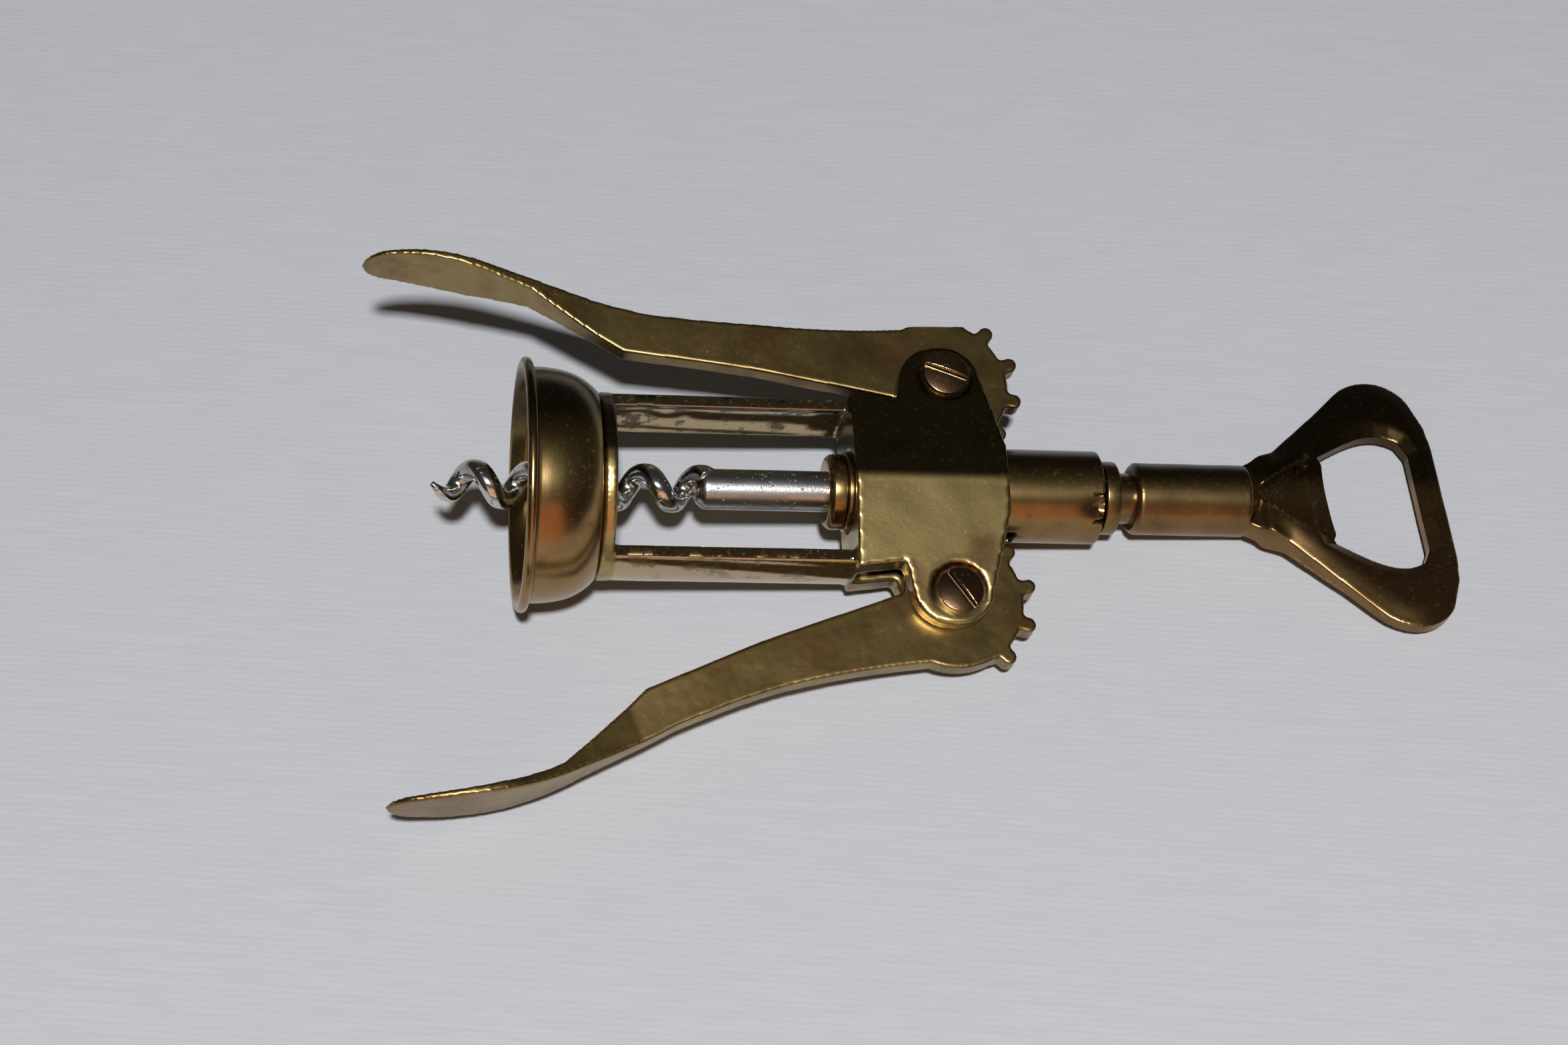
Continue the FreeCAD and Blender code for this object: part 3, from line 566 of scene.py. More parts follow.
def remeshed(solid: Solid, voxel: float, passes: int, cutters: Sequence[Solid] = ()) -> Solid:
    """Cut a solid, give it an even fine mesh and soften its edges.

    Args:
        solid: Closed solid, in millimetres.
        voxel: Size of a cell of the new mesh.
        passes: Rounds of smoothing.
        cutters: Closed solids that are taken away first.

    Returns:
        The new solid.
    """
    holder = hold(solid, "rough_piece")
    held = [holder]
    for number, cutter in enumerate(cutters):
        tool = hold(cutter, "cutter_%d" % number)
        held.append(tool)
        cut = holder.modifiers.new("cut", "BOOLEAN")
        cut.operation = "DIFFERENCE"
        cut.object = tool
    even = holder.modifiers.new("even", "REMESH")
    even.mode = "VOXEL"
    even.voxel_size = voxel
    bpy.context.view_layer.update()
    seen = holder.evaluated_get(bpy.context.evaluated_depsgraph_get())
    fine = bmesh.new()
    fine.from_mesh(seen.to_mesh())
    seen.to_mesh_clear()
    for used in held:
        mesh = used.data
        bpy.data.objects.remove(used)
        bpy.data.meshes.remove(mesh)
    soften(fine, fine.verts, passes)
    return fine


def hold(solid: Solid, name: str) -> bpy.types.Object:
    """Put a solid in an object of its own for a while.

    Args:
        solid: The solid, which is freed.
        name: Name of the object.

    Returns:
        The object.
    """
    mesh = bpy.data.meshes.new(name)
    solid.to_mesh(mesh)
    solid.free()
    made = bpy.data.objects.new(name, mesh)
    bpy.context.scene.collection.objects.link(made)
    return made


def soften(solid: Solid, verts: Iterable[bmesh.types.BMVert], passes: int) -> None:
    """Round off corners without making the solid smaller.

    Args:
        solid: The solid.
        verts: The corners that move.
        passes: Rounds, each a step toward the neighbours and a step back.
    """
    spots = list(verts)
    for step in range(2 * passes):
        factor = STEP_IN if step % 2 == 0 else STEP_BACK
        bmesh.ops.smooth_vert(
            solid, verts=spots, factor=factor, use_axis_x=True, use_axis_y=True, use_axis_z=True
        )


def flowing(points: Sequence[tuple[float, float]], steps: int = 5) -> list[tuple[float, float]]:
    """Lay a smooth curve through points of a lathe outline.

    Args:
        points: Points as (along, radius).
        steps: Pieces between two points.

    Returns:
        The points of the curve.
    """
    spots = [Vector(point) for point in points]
    ends = [2 * spots[0] - spots[1], *spots, 2 * spots[-1] - spots[-2]]
    curve = []
    for before, first, last, after in zip(ends, ends[1:], ends[2:], ends[3:]):
        for step in range(steps):
            t = step / steps
            spot = (
                first * 2
                + (last - before) * t
                + (before * 2 - first * 5 + last * 4 - after) * t * t
                + (first * 3 - before - last * 3 + after) * t * t * t
            ) * 0.5
            curve.append((spot.x, spot.y))
    return [*curve, tuple(spots[-1])]


def cast_copy(node: str, axes: Matrix, voxel: float, passes: int) -> Solid:
    """Take the form of a solid of the frame and give it soft cast edges.

    Args:
        node: Name of the solid.
        axes: Matrix from the piece's millimetres to the row.
        voxel: Size of a cell of the new mesh.
        passes: Rounds of smoothing.

    Returns:
        The solid in the piece's own millimetres.
    """
    solid = bmesh.new()
    solid.from_mesh(frame["nodes"][node].data)
    solid.transform(axes.inverted())
    bmesh.ops.remove_doubles(solid, verts=solid.verts, dist=1e-3)
    return remeshed(solid, voxel, passes)


def ripple(solid: Solid, size: float, height: float, seed: float) -> None:
    """Make a cast surface a little uneven.

    Args:
        solid: The solid.
        size: Width of a wave, in millimetres.
        height: Height of a wave, in millimetres.
        seed: Offset of the pattern.
    """
    solid.normal_update()
    shift = Vector((seed, seed * 0.7, -seed))
    for vert in solid.verts:
        vert.co += vert.normal * (height * noise.noise(vert.co / size + shift))


def wedge(place: Place, size: Place, turn: float, taper: float) -> Solid:
    """Block that cuts a tear or a gap.

    Args:
        place: Middle of the block.
        size: Its three sizes.
        turn: Turn about the X axis, in degrees.
        taper: Share of its width that is left at its -X end.

    Returns:
        The block.
    """
    block = bmesh.new()
    bmesh.ops.create_cube(block, size=1.0)
    bmesh.ops.scale(block, vec=size, verts=block.verts)
    near = [vert for vert in block.verts if vert.co.x < 0]
    bmesh.ops.scale(block, vec=(1.0, taper, 1.0), verts=near)
    bmesh.ops.translate(block, vec=place, verts=block.verts)
    bmesh.ops.rotate(
        block, cent=(0, 0, 0), matrix=Matrix.Rotation(math.radians(turn), 3, "X"), verts=block.verts
    )
    return block


def place_piece(
    solid: Solid, name: str, axes: Matrix, body: Body, node: str, material: Material
) -> bpy.types.Object:
    """Put a finished solid in the row, in place of a node of the frame.

    Args:
        solid: The solid in its own millimetres, which is freed.
        name: Name of the piece.
        axes: Matrix from its millimetres to the row.
        body: Body that it moves with.
        node: Node of the frame that it stands for.
        material: Its material.

    Returns:
        The new object.
    """
    solid.transform(axes)
    solid.normal_update()
    made = hold(solid, name)
    made.data.shade_smooth()
    made.data.set_sharp_from_angle(angle=math.radians(SHARP_ANGLE))
    made.data.materials.append(material)
    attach(made, body.value)
    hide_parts(node)
    made.data.calc_loop_triangles()
    log.info("%s: %d triangles", name, len(made.data.loop_triangles))
    return made


def eased(place: float, start: float, end: float) -> float:
    """Go smoothly from 0 at start to 1 at end."""
    share = min(max((place - start) / (end - start), 0.0), 1.0)
    return share * share * (3 - 2 * share)


@dataclass
class Bell:
    """Spun bell with a rolled rim."""

    rim_radius: float = 21.0
    bead: float = 0.88
    back: float = 12.6
    spigot: float = 10.53
    wall: float = 1.25
    steps: int = 200

    def outer(self) -> list[tuple[float, float]]:
        """Outline of the outside, from behind the rim to the back."""
        points = [(2.1, 19.45), (4.2, 19.35), (6.4, 19.05), (8.6, 18.45), (10.3, 17.6)]
        return flowing([*points, (11.6, 16.65), (self.back, 15.7)])

    def inner(self) -> list[tuple[float, float]]:
        """Outline of the inside, from the back to the rim."""
        outer = [Vector(point) for point in self.outer()]
        points = []
        for before, here, after in zip(outer, outer[1:], outer[2:]):
            ahead = (after - before).normalized()
            points.append((here.x + ahead.y * self.wall, here.y - ahead.x * self.wall))
        return points[::-1]

    def build(self, material: Material) -> None:
        """Turn the bell and put it in place."""
        rim = arc((self.bead + 0.1, self.rim_radius - self.bead), self.bead, 250, -35, 20)
        corners = [
            *rim,
            *[(x, r, 0.0) for x, r in self.outer()],
            (self.back, self.spigot, 0.0),
            (self.back - self.wall, self.spigot, 0.0),
            *[(x, r, 0.0) for x, r in self.inner() if x < self.back - self.wall - 0.1],
        ]
        solid = lathe(corners, self.steps)
        axes = PLACES.frame_axes()
        place_piece(solid, "bell_shell", axes, Body.FRAME, "bell", material)


@dataclass
class FramePieces:
    """The cast frame with its sleeve and its two pivot screws."""

    voxel: float = 0.40
    sleeve_start: float = 77.9
    sleeve_bore: float = 6.69
    sleeve_outer: float = 7.88
    sleeve_voxel: float = 0.23
    gap_middle: float = 79.85
    gap_size: Place = (5.9, 24.0, 4.2)
    tear_size: Place = (3.2, 0.9, 4.0)
    tear_angles: tuple[float, float] = (18.0, 52.0)
    dent_angle: float = 35.0
    dent_spread: float = 13.0
    dent_depth: float = 0.55
    dent_length: float = 3.2
    dent_pull: float = 0.9
    screw_head: float = 3.85
    screw_face: float = 6.2
    screw_dome: float = 0.25
    screw_voxel: float = 0.13

    def casting(self, material: Material) -> None:
        """Give the casting soft edges and put it in place."""
        axes = PLACES.frame_axes()
        solid = cast_copy("frame_casting", axes, self.voxel, 11)
        ripple(solid, 6.0, 0.05, 3.0)
        place_piece(solid, "cast_frame", axes, Body.FRAME, "frame_casting", material)

    def sleeve(self, material: Material) -> None:
        """Make the sleeve with its torn and dented end."""
        axes = PLACES.frame_axes()
        torn = (PLACES.sleeve_end - 0.4, 0, self.sleeve_outer)
        tears = [wedge(torn, self.tear_size, angle, 0.35) for angle in self.tear_angles]
        gap = wedge((self.gap_middle, 0, 0), self.gap_size, 0.0, 1.0)
        corners = [
            (self.sleeve_start, self.sleeve_bore, 0.0),
            (self.sleeve_start, self.sleeve_outer, 0.0),
            (PLACES.sleeve_end, self.sleeve_outer, 0.2),
            (PLACES.sleeve_end, self.sleeve_bore, 0.15),
        ]
        solid = remeshed(lathe(corners, 240), self.sleeve_voxel, 4, [*tears, gap])
        for vert in solid.verts:
            across = math.hypot(vert.co.y, vert.co.z)
            if across < self.sleeve_outer - 0.5:
                continue
            angle = math.degrees(math.atan2(-vert.co.y, vert.co.z))
            aside = (angle - self.dent_angle) / self.dent_spread
            back = (PLACES.sleeve_end - vert.co.x) / self.dent_length
            depth = self.dent_depth * math.exp(-aside * aside * 1.4)
            depth *= math.exp(-back * back * 1.6)
            share = (across - depth) / across
            vert.co.y *= share
            vert.co.z *= share
            pull = self.dent_pull * math.exp(-aside * aside * 1.2)
            vert.co.x -= pull * (1.0 - eased(back, 0.0, 1.0))
        ripple(solid, 4.0, 0.02, 5.0)
        node = "guide_sleeve"
        place_piece(solid, "torn_sleeve", axes, Body.FRAME, node, material)

    def screw(self, node: str, name: str, joint: str, material: Material) -> None:
        """Make a slotted screw with a domed head.

        Args:
            node: Node of the frame.
            name: Name of the piece.
            joint: Joint whose place the screw has.
            material: Its material.
        """
        turn = PLACES.frame_axes().to_3x3().normalized().to_4x4()
        place = Vector(PLACES.joint(joint)["pos_m"])
        axes = Matrix.Translation(place) @ turn @ Matrix.Scale(MM, 4)
        solid = cast_copy(node, axes, self.screw_voxel, 3)
        for vert in solid.verts:
            share = math.hypot(vert.co.x, vert.co.y) / self.screw_head
            if vert.co.z > self.screw_face and share < 1.0:
                vert.co.z += self.screw_dome * (share - share * share * share)
        place_piece(solid, name, axes, Body.FRAME, node, material)

    def build(self, cast: Material, turned: Material, bronze: Material) -> None:
        """Build all the pieces of the frame.

        Args:
            cast: Material of the casting.
            turned: Material of the sleeve.
            bronze: Material of the two screws.
        """
        self.casting(cast)
        self.sleeve(turned)
        self.screw("pivot_screw_upper", "screw_upper", "upper_wing_swing", bronze)
        self.screw("pivot_screw_lower", "screw_lower", "lower_wing_swing", bronze)


@dataclass
class Wings:
    """The two toothed wings."""

    voxel: float = 0.27
    bend: float = 1.6
    paddle_start: float = 58.0
    shoulder_height: float = 11.05
    shoulder_slope: float = 0.2376
    shoulder_end: float = 18.0
    shoulder_radius: float = 12.2

    def build_one(self, upper: bool, material: Material) -> None:
        """Build one wing.

        Args:
            upper: True for the wing at the far side.
            material: Its material.
        """
        axes = PLACES.wing_axes(upper)
        node = "wing_upper" if upper else "wing_lower"
        body = Body.UPPER if upper else Body.LOWER
        solid = cast_copy(node, axes, self.voxel, 7)
        soften(solid, [vert for vert in solid.verts if vert.co.x < -self.paddle_start], 12)
        for vert in solid.verts:
            reach = -vert.co.x
            shift = self.bend * eased(reach, 28, 62) * (1.0 - eased(reach, 72, 99))
            vert.co.y += -shift if upper else shift
            over = vert.co.y - (self.shoulder_height - self.shoulder_slope * reach)
            near = vert.co.xy.length < self.shoulder_radius
            if upper and near and over > 0 and -3.0 < reach < self.shoulder_end:
                vert.co.y -= 0.9 * over * (1.0 - eased(-reach, 0.0, 3.0))
        ripple(solid, 6.0, 0.07, 1.0 if upper else 6.0)
        ripple(solid, 1.6, 0.015, 2.0 if upper else 9.0)
        place_piece(solid, node + "_cast", axes, body, node, material)

    def build(self, material: Material) -> None:
        """Build both wings."""
        self.build_one(True, material)
        self.build_one(False, material)


@dataclass
class RackPieces:
    """Turned rack with its stop washer and its end collar."""

    core: float = 4.8
    ring: float = 6.6
    pitch: float = 7.121
    ring_count: int = 5
    journal: float = 4.2
    start: float = 51.7
    last_ring: float = 6.2
    neck: float = 4.3
    tang: float = 3.0
    ring_half: float = 1.1
    foot_half: float = 1.6
    shank_bore: float = 3.43
    washer_bore: float = 4.25
    washer_radius: float = 6.75
    washer_width: float = 0.9
    collar_radius: float = 6.3
    collar_nose: float = 5.5
    collar_width: float = 3.0
    collar_bore: float = 4.23
    steps: int = 128

    def turn(
        self,
        corners: Sequence[Place],
        name: str,
        body: Body,
        node: str,
        material: Material,
    ) -> None:
        """Turn a piece and put it on the spindle's axis.

        Args:
            corners: Its outline, as (along, radius, rounding).
            name: Name of the piece.
            body: Body that it moves with.
            node: Node of the frame that it stands for.
            material: Its material.
        """
        solid = lathe(corners, self.steps)
        place_piece(solid, name, PLACES.spindle_axes(), body, node, material)

    def rack(self, material: Material) -> None:
        """Turn the rack with its rings."""
        corners = [
            (self.start, self.shank_bore, 0.0),
            (self.start, self.journal, 0.0),
            (PLACES.head_start - 0.03, self.journal, 0.1),
            (PLACES.head_start - 0.03, self.ring, 0.25),
            (PLACES.head_start + 2.4, self.ring, 0.25),
            (PLACES.head_start + 2.9, self.core, 0.2),
        ]
        first = PLACES.pivot_along - self.pitch
        for number in range(self.ring_count):
            middle = first + number * self.pitch
            corners += [
                (middle - self.foot_half, self.core, 0.15),
                (middle - self.ring_half, self.ring, 0.3),
                (middle + self.ring_half, self.ring, 0.3),
                (middle + self.foot_half, self.core, 0.15),
            ]
        end = PLACES.sleeve_end + 3.4
        corners += [
            (end - 3.0, self.core, 0.1),
            (end - 2.5, self.last_ring, 0.25),
            (end, self.last_ring, 0.45),
            (end, self.neck + 0.15, 0.12),
            (end + 0.3, self.neck, 0.1),
            (PLACES.neck_end, self.neck, 0.0),
            (PLACES.neck_end, self.tang, 0.0),
            (PLACES.neck_end + 11.0, self.tang, 0.0),
            (PLACES.neck_end + 11.0, 0.5, 0.0),
            (self.start + 9.0, 0.5, 0.0),
            (self.start + 9.0, self.shank_bore, 0.0),
        ]
        self.turn(corners, "ringed_rack", Body.SPINDLE, "rack_shaft", material)

    def washer(self, material: Material) -> None:
        """Turn the stop washer."""
        end = PLACES.head_start - 0.06
        corners = [
            (end - self.washer_width, self.washer_bore, 0.08),
            (end - self.washer_width, self.washer_radius, 0.35),
            (end, self.washer_radius, 0.12),
            (end, self.washer_bore, 0.08),
        ]
        self.turn(corners, "washer", Body.CARRIER, "stop_washer", material)

    def collar(self, material: Material) -> None:
        """Turn the end collar with its rounded nose."""
        end = PLACES.head_start - 1.02
        corners = [
            (end - self.collar_width, self.shank_bore, 0.0),
            (end - self.collar_width, self.collar_nose, 0.3),
            (end - 2.3, self.collar_radius, 0.4),
            (end, 6.36, 0.3),
            (end, self.collar_bore, 0.0),
            (end - 2.37, self.collar_bore, 0.0),
            (end - 2.37, self.shank_bore, 0.0),
        ]
        self.turn(corners, "round_collar", Body.SPINDLE, "end_collar", material)

    def build(self, material: Material) -> None:
        """Build the three pieces."""
        self.rack(material)
        self.washer(material)
        self.collar(material)


@dataclass
class Worm:
    """Steel worm: a flattened wire wound right-handed, with a plain shank."""

    radius: float = 2.42
    half_along: float = 1.75
    half_deep: float = 1.62
    pitch: float = 9.33
    crest: float = -7.15
    phase: float = 31.0
    tip: float = -14.0
    shank_start: float = 29.3
    shank_radius: float = 3.4
    shank_end: float = 59.1
    taper: float = 5.0
    flatness: float = 0.85
    steps_per_turn: int = 44
    corners: int = 28
    voxel: float = 0.19

    def centre(self, along: float) -> Vector:
        """Middle of the wire at a place along the axis."""
        angle = math.radians(self.phase) + 2 * math.pi * (along - self.crest) / self.pitch
        deep = self.radius
        if along < self.tip + self.taper:
            deep = self.radius * (0.55 + 0.45 * eased(along, self.tip, self.tip + self.taper))
        return Vector((along, deep * math.cos(angle), deep * math.sin(angle)))

    def section(self, along: float) -> Matrix:
        """Place and size of the wire's section at a place along the axis."""
        here = self.centre(along)
        ahead = (self.centre(along + 0.02) - here).normalized()
        outward = Vector((0, here.y, here.z)).normalized()
        outward = (outward - ahead * outward.dot(ahead)).normalized()
        side = ahead.cross(outward)
        size = 1.0
        if along < self.tip + self.taper:
            size = 0.16 + 0.84 * eased(along, self.tip - 1.5, self.tip + self.taper)
        columns = (outward * self.half_deep * size, side * self.half_along * size, ahead)
        return Matrix.Translation(here) @ Matrix(columns).transposed().to_4x4()

    def build(self, material: Material) -> None:
        """Wind the wire, join it to the shank and put it in place."""
        wire = bmesh.new()
        end = self.shank_start + 2.0
        turns = (end - self.tip) / self.pitch
        steps = int(turns * self.steps_per_turn)
        made = bmesh.ops.create_circle(wire, cap_ends=False, segments=self.corners, radius=1.0)
        ring = made["verts"]
        for vert in ring:
            for side in (0, 1):
                vert.co[side] = math.copysign(abs(vert.co[side]) ** self.flatness, vert.co[side])
        edges = list(wire.edges)
        last = self.section(self.tip)
        bmesh.ops.transform(wire, matrix=last, verts=ring)
        for step in range(1, steps + 1):
            here = self.section(self.tip + (end - self.tip) * step / steps)
            grown = bmesh.ops.extrude_edge_only(wire, edges=edges)["geom"]
            ring = [item for item in grown if isinstance(item, bmesh.types.BMVert)]
            edges = [item for item in grown if isinstance(item, bmesh.types.BMEdge)]
            bmesh.ops.transform(wire, matrix=here @ last.inverted(), verts=ring)
            last = here
        bmesh.ops.holes_fill(wire, edges=wire.edges, sides=0)
        bmesh.ops.recalc_face_normals(wire, faces=wire.faces)
        near, far, radius = self.shank_start, self.shank_end, self.shank_radius
        front = [(near, 0.4, 0.0), (near, 2.2, 0.3), (near + 1.4, radius, 0.5)]
        shank = lathe([*front, (far, radius, 0.0), (far, 0.4, 0.0)], 96)
        spare = bpy.data.meshes.new("shank")
        shank.to_mesh(spare)
        shank.free()
        wire.from_mesh(spare)
        bpy.data.meshes.remove(spare)
        solid = remeshed(wire, self.voxel, 2)
        axes = PLACES.spindle_axes()
        place_piece(solid, "steel_worm", axes, Body.SPINDLE, "worm", material)


@dataclass
class Handle:
    """Handle with its flat loop and the sunk web that lifts caps."""

    voxel: float = 0.32
    opening_start: float = 137.7
    opening_end: float = 154.2
    web_half: float = 0.95
    band_half: float = 1.25
    band: float = 2.2
    slope_width: float = 3.0
    root_rise: float = 0.6
    web_start: float = 126.4
    web_shift: float = 1.2
    web_hollow: float = 0.5
    thinning: float = 0.62
    opening_shift: float = 0.9
    end_shift: float = 0.5

    def mirrored(self, half: Sequence[tuple[float, float]]) -> list[Vector]:
        """Corners of a line that is the same on both sides of the axis.

        Args:
            half: Corners on the +Y side, as (along, across).

        Returns:
            The corners of both sides.
        """
        across = [Vector((x, -y, 0)) for x, y in reversed(half)]
        return [Vector((x, y, 0)) for x, y in half] + across

    def opening(self) -> list[Vector]:
        """Corners of the opening."""
        near = [(self.opening_start, 8.5), (141.2, 10.3), (144.7, 12.4), (147.0, 13.4)]
        far = [(148.9, 13.7), (151.2, 13.4), (152.9, 12.4), (self.opening_end, 9.8)]
        return self.mirrored(near + far)

    def outline(self) -> list[Vector]:
        """Corners of the outside of the loop."""
        corner = [(x, y) for x, y, _ in arc((149.9, 17.5), 7.8, 138.1, 29.3, 8)]
        root = [(123.5, 5.8), (130.0, 9.3), (139.3, 17.9)]
        return self.mirrored([*root, *corner, (158.7, 16.0), (PLACES.loop_end, 11.3)])

    def off_line(self, place: Vector, line: Sequence[Vector]) -> float:
        """Distance from a place to a line in the plane of the loop.

        Args:
            place: The place.
            line: Corners of the line.

        Returns:
            The distance in millimetres.
        """
        flat = Vector((place.x, place.y, 0))
        nearest = math.inf
        for first, second in zip(line, line[1:]):
            spot, share = geometry.intersect_point_line(flat, first, second)
            spot = first if share < 0 else second if share > 1 else spot
            nearest = min(nearest, (spot - flat).length)
        return nearest

    def on_web(self, place: Vector) -> bool:
        """Say whether a place is on the thin web."""
        side = 1.2 + (place.x - self.web_start) * 0.68
        end = self.opening_start + 0.8
        return self.web_start < place.x < end and abs(place.y) < side

    def thin_web(self, vert: bmesh.types.BMVert) -> None:
        """Press a corner of the web down to its rough face and curve its free edge.

        Args:
            vert: The corner.
        """
        x, y, z = vert.co
        side = 1.0 if z > 0 else -1.0
        if x > self.opening_start - self.band and abs(z) > self.band_half:
            vert.co.z = side * self.band_half
        elif abs(z) > self.web_half:
            grit = noise.noise(vert.co / 0.55) * 0.09 + noise.noise(vert.co / 0.25) * 0.05
            vert.co.z = side * (self.web_half + grit)
        hollow = self.web_hollow * max(1.0 - (y / 8.0) ** 2, 0.0)
        middle = 1.0 - eased(abs(y), 7.0, 9.5)
        edge = eased(x, self.opening_start - 4.0, self.opening_start)
        vert.co.x += (self.web_shift * middle - hollow) * edge

    def slope_loop(self, vert: bmesh.types.BMVert) -> None:
        """Thin a corner of the loop toward its edges and thicken it at the root.

        Args:
            vert: The corner.
        """
        x, _, z = vert.co
        near = self.off_line(vert.co, self.opening())
        slope = 1.0 - self.thinning * (1.0 - eased(near, -1.0, self.slope_width))
        rim = self.off_line(vert.co, self.outline())
        crown = 1.0 - self.thinning * (1.0 - eased(rim, -2.0, 4.2)) * eased(x, 125.5, 131.0)
        root = eased(x, 125.1, 127.5) * (1.0 - eased(x, 128.5, 143.0))
        vert.co.z = z * slope * crown * (1.0 + self.root_rise * root)
        wide = eased(x, 143.0, 148.0)
        outer = eased(near, 1.0, 3.8)
        vert.co.x += self.opening_shift * wide * (1.0 - outer) + self.end_shift * wide * outer

    def shape(self, solid: Solid) -> None:
        """Give the loop its sloped edges, its thick root and its thin web."""
        for vert in solid.verts:
            if vert.co.x < PLACES.barrel_end - 0.6:
                continue
            if self.on_web(vert.co):
                self.thin_web(vert)
            elif abs(vert.co.z) <= 2.4 and vert.co.x >= PLACES.barrel_end + 0.1:
                self.slope_loop(vert)

    def build(self, material: Material) -> None:
        """Build the handle and put it in place."""
        axes = PLACES.spindle_axes()
        solid = cast_copy("handle", axes, self.voxel, 3)
        self.shape(solid)
        loop = [vert for vert in solid.verts if vert.co.x > PLACES.barrel_end - 2.5]
        soften(solid, [vert for vert in loop if not self.on_web(vert.co)], 5)
        ripple(solid, 6.0, 0.06, 4.0)
        name = "cap_lifter_handle"
        place_piece(solid, name, axes, Body.SPINDLE, "handle", material)


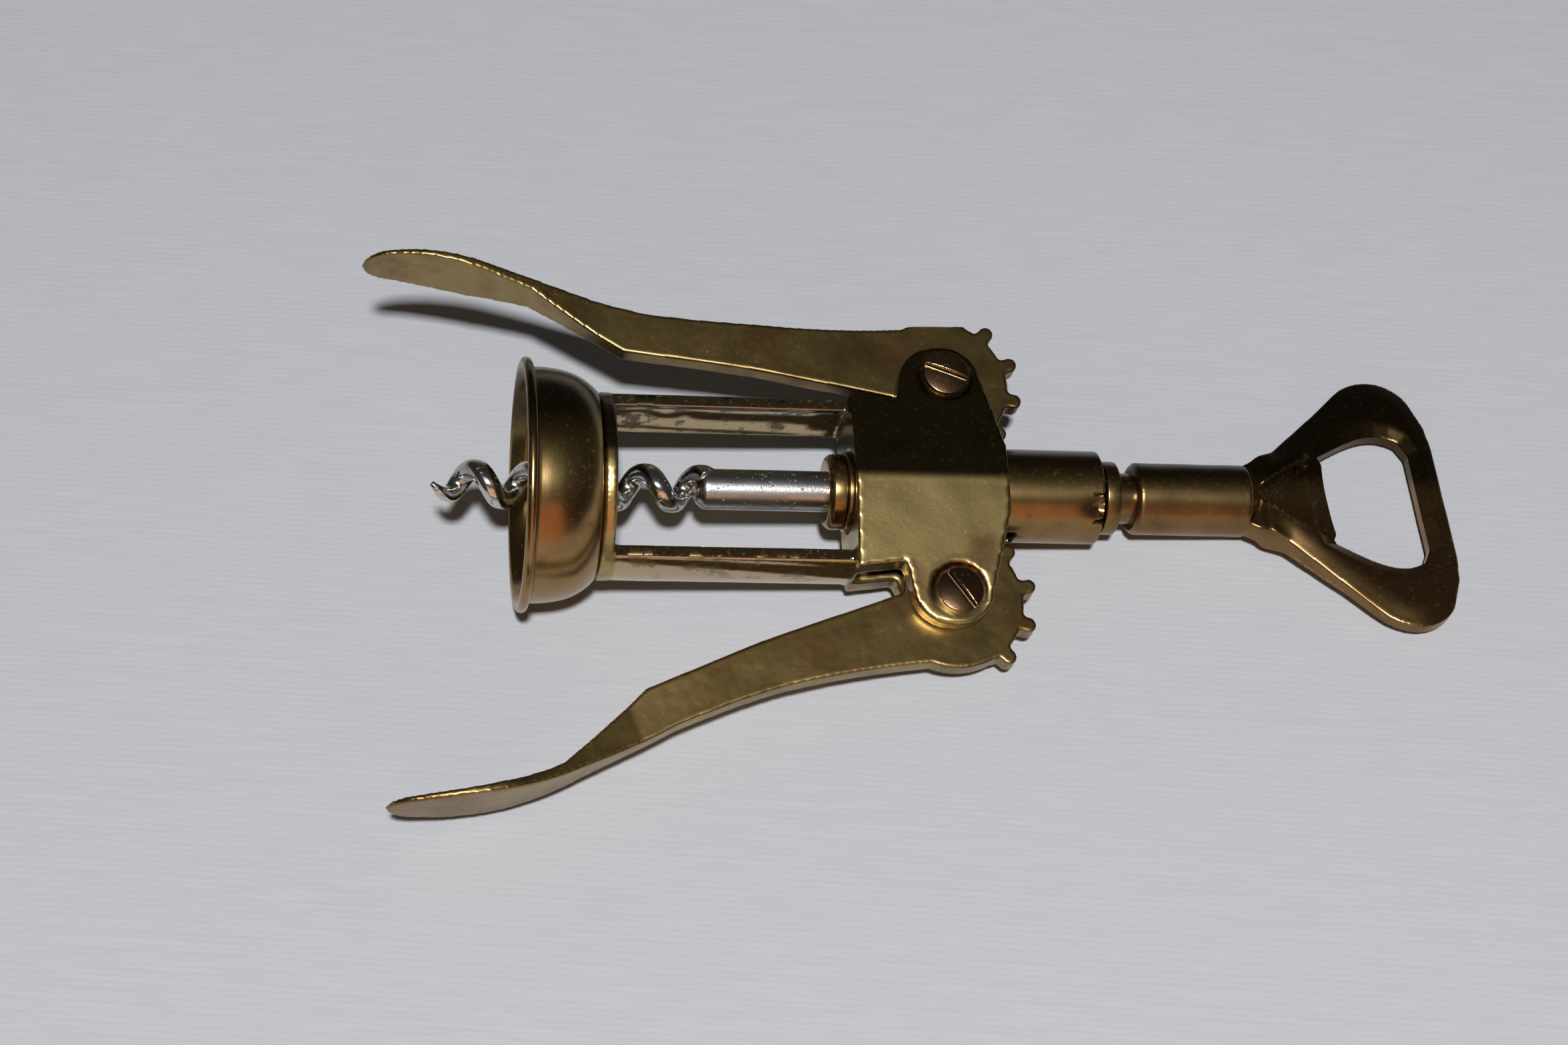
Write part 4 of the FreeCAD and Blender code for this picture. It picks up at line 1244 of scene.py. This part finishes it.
@dataclass
class Studio:
    """Table, lamps and camera.

    The camera's distances are in millimetres, the lamps' are in metres, and the
    places of the lamps are set out from the tool in the photograph's own axes.
    """

    focal_pixels: float = 4343.9
    distance: float = 486.4
    tilt: float = 33.86
    roll: float = 3.33
    yaw: float = 7.16
    aim_along: float = 75.0
    aside: float = 30.23
    upward: float = 4.62
    key_aside: float = 0.008
    key_tilt: float = 25.0
    key_distance: float = 1.30
    key_size: float = 0.085
    key_power: float = 17.0
    key_colour: Colour = (0.985, 0.985, 1.0)
    warm_place: Place = (0.1, -0.75, 0.22)
    warm_size: float = 0.6
    warm_power: float = 0.9
    warm_colour: Colour = (1.0, 0.56, 0.32)
    world_colour: Colour = (1.0, 0.90, 0.82)
    world_level: float = 0.04
    table_half: float = 1.6

    def turned(self, direction: Sequence[float]) -> Vector:
        """Turn a direction of the photograph's own axes into the row."""
        return Matrix.Rotation(math.radians(-self.yaw), 3, "Z") @ Vector(direction)

    def aim(self) -> Vector:
        """Place on the tool that the camera is set out from."""
        return PLACES.origin() + PLACES.along() * self.aim_along * MM

    def camera(self) -> None:
        """Make the camera at the photograph's place."""
        tilt = math.radians(self.tilt)
        roll = math.radians(self.roll)
        ahead = self.turned((0, math.sin(tilt), -math.cos(tilt)))
        right = self.turned((1, 0, 0))
        up = self.turned((0, math.cos(tilt), math.sin(tilt)))
        level = right * math.cos(roll) + up * math.sin(roll)
        upright = up * math.cos(roll) - right * math.sin(roll)
        back = ahead * self.distance + level * self.aside + upright * self.upward
        place = self.aim() - back * MM
        lens = bpy.data.cameras.new("photo_camera")
        lens.sensor_fit = "HORIZONTAL"
        lens.sensor_width = SENSOR_WIDTH
        lens.lens = self.focal_pixels / PHOTO_WIDTH * SENSOR_WIDTH
        lens.clip_start = 0.01
        made = bpy.data.objects.new("photo_camera", lens)
        turn = Matrix((level, upright, -ahead)).transposed().to_4x4()
        made.matrix_world = Matrix.Translation(place) @ turn
        bpy.context.scene.collection.objects.link(made)
        bpy.context.scene.camera = made

    def lamp(self, name: str, place: Vector, size: float, power: float, colour: Colour) -> None:
        """Hang a soft square lamp that faces the tool.

        Args:
            name: Name of the lamp.
            place: Its place in the row.
            size: Side of the square, in metres.
            power: Power in watts.
            colour: Colour of the light.
        """
        light = bpy.data.lights.new(name, "AREA")
        light.size = size
        light.energy = power
        light.color = colour
        made = bpy.data.objects.new(name, light)
        made.location = place
        made.rotation_euler = (place - self.aim()).to_track_quat("Z", "Y").to_euler()
        bpy.context.scene.collection.objects.link(made)

    def light(self) -> None:
        """Hang the lamps and set the dim room round them."""
        tilt = math.radians(self.key_tilt)
        key = self.turned((self.key_aside, -math.sin(tilt), math.cos(tilt))) * self.key_distance
        self.lamp("key", self.aim() + key, self.key_size, self.key_power, self.key_colour)
        warm = self.aim() + self.turned(self.warm_place)
        self.lamp("warm_side", warm, self.warm_size, self.warm_power, self.warm_colour)
        world = bpy.data.worlds.new("dim_room")
        world.use_nodes = True
        back = world.node_tree.nodes["Background"]
        back.inputs["Color"].default_value = tone(self.world_colour)
        back.inputs["Strength"].default_value = self.world_level
        bpy.context.scene.world = world

    def table(self) -> None:
        """Lay the cover of the table."""
        sheet = bmesh.new()
        bmesh.ops.create_grid(sheet, x_segments=1, y_segments=1, size=self.table_half)
        made = hold(sheet, "table_top")
        made.data.materials.append(TableCloth().make())

    def build(self) -> None:
        """Set up the whole studio."""
        bpy.context.scene.view_settings.view_transform = "Standard"
        self.table()
        self.light()
        self.camera()


def main() -> None:
    """Build every sub-assembly in order."""
    logging.basicConfig(level=logging.INFO, format="%(name)s: %(message)s")
    # The shaded ranges and copper ranges below set where each finish gets its painted shade on the
    # upper side and its painted warm reflection on the lower side.
    cast = AgedBrass(
        "cast_brass",
        tarnish=0.75, smooth=0.31, dull=0.41, grain=0.000008,
        shaded=(140.0, 141.0), warm_glow_range=(-16.0, 4.0),
    ).make()
    casting = AgedBrass(
        "frame_brass",
        bright=(0.44, 0.33, 0.135), olive=(0.20, 0.15, 0.06),
        tarnish=0.6, smooth=0.28, dull=0.38, grain=0.000008, edge_wear_and_glint=0.6,
        lean=12.5, shaded=(-0.3, 0.9), warm_glow_range=(-2.0, -1.0), polished=(15.1, 54.9),
    ).make()
    handle = AgedBrass(
        "handle_brass",
        bright=(0.34, 0.225, 0.09), olive=(0.12, 0.082, 0.036), copper=(0.21, 0.11, 0.045),
        smooth=0.28, dull=0.40, grain=0.000006, shaded=(1.6, 5.6),
    ).make()
    tube = AgedBrass(
        "tube_brass",
        bright=(0.40, 0.275, 0.11), olive=(0.15, 0.103, 0.043), copper=(0.21, 0.11, 0.045),
        smooth=0.24, dull=0.36, grain=0.000005, turning=0.000004, shaded=(2.0, 6.8),
    ).make()
    turned = AgedBrass(
        "turned_brass",
        bright=(0.44, 0.31, 0.125), olive=(0.17, 0.118, 0.048), copper=(0.26, 0.135, 0.055),
        smooth=0.22, dull=0.33, grain=0.000004, turning=0.000006, shaded=(4.0, 13.5),
    ).make()
    bronze = AgedBrass(
        "dark_bronze",
        bright=(0.31, 0.205, 0.11), olive=(0.10, 0.068, 0.042), copper=(0.20, 0.105, 0.06),
        smooth=0.20, dull=0.30, grain=0.000012,
    ).make()
    steel = PittedSteel("pitted_steel").make()
    Bell().build(turned)
    FramePieces().build(casting, tube, bronze)
    Wings().build(cast)
    RackPieces().build(tube)
    Worm().build(steel)
    Handle().build(handle)
    Studio().build()


if __name__ == "__main__":
    main()
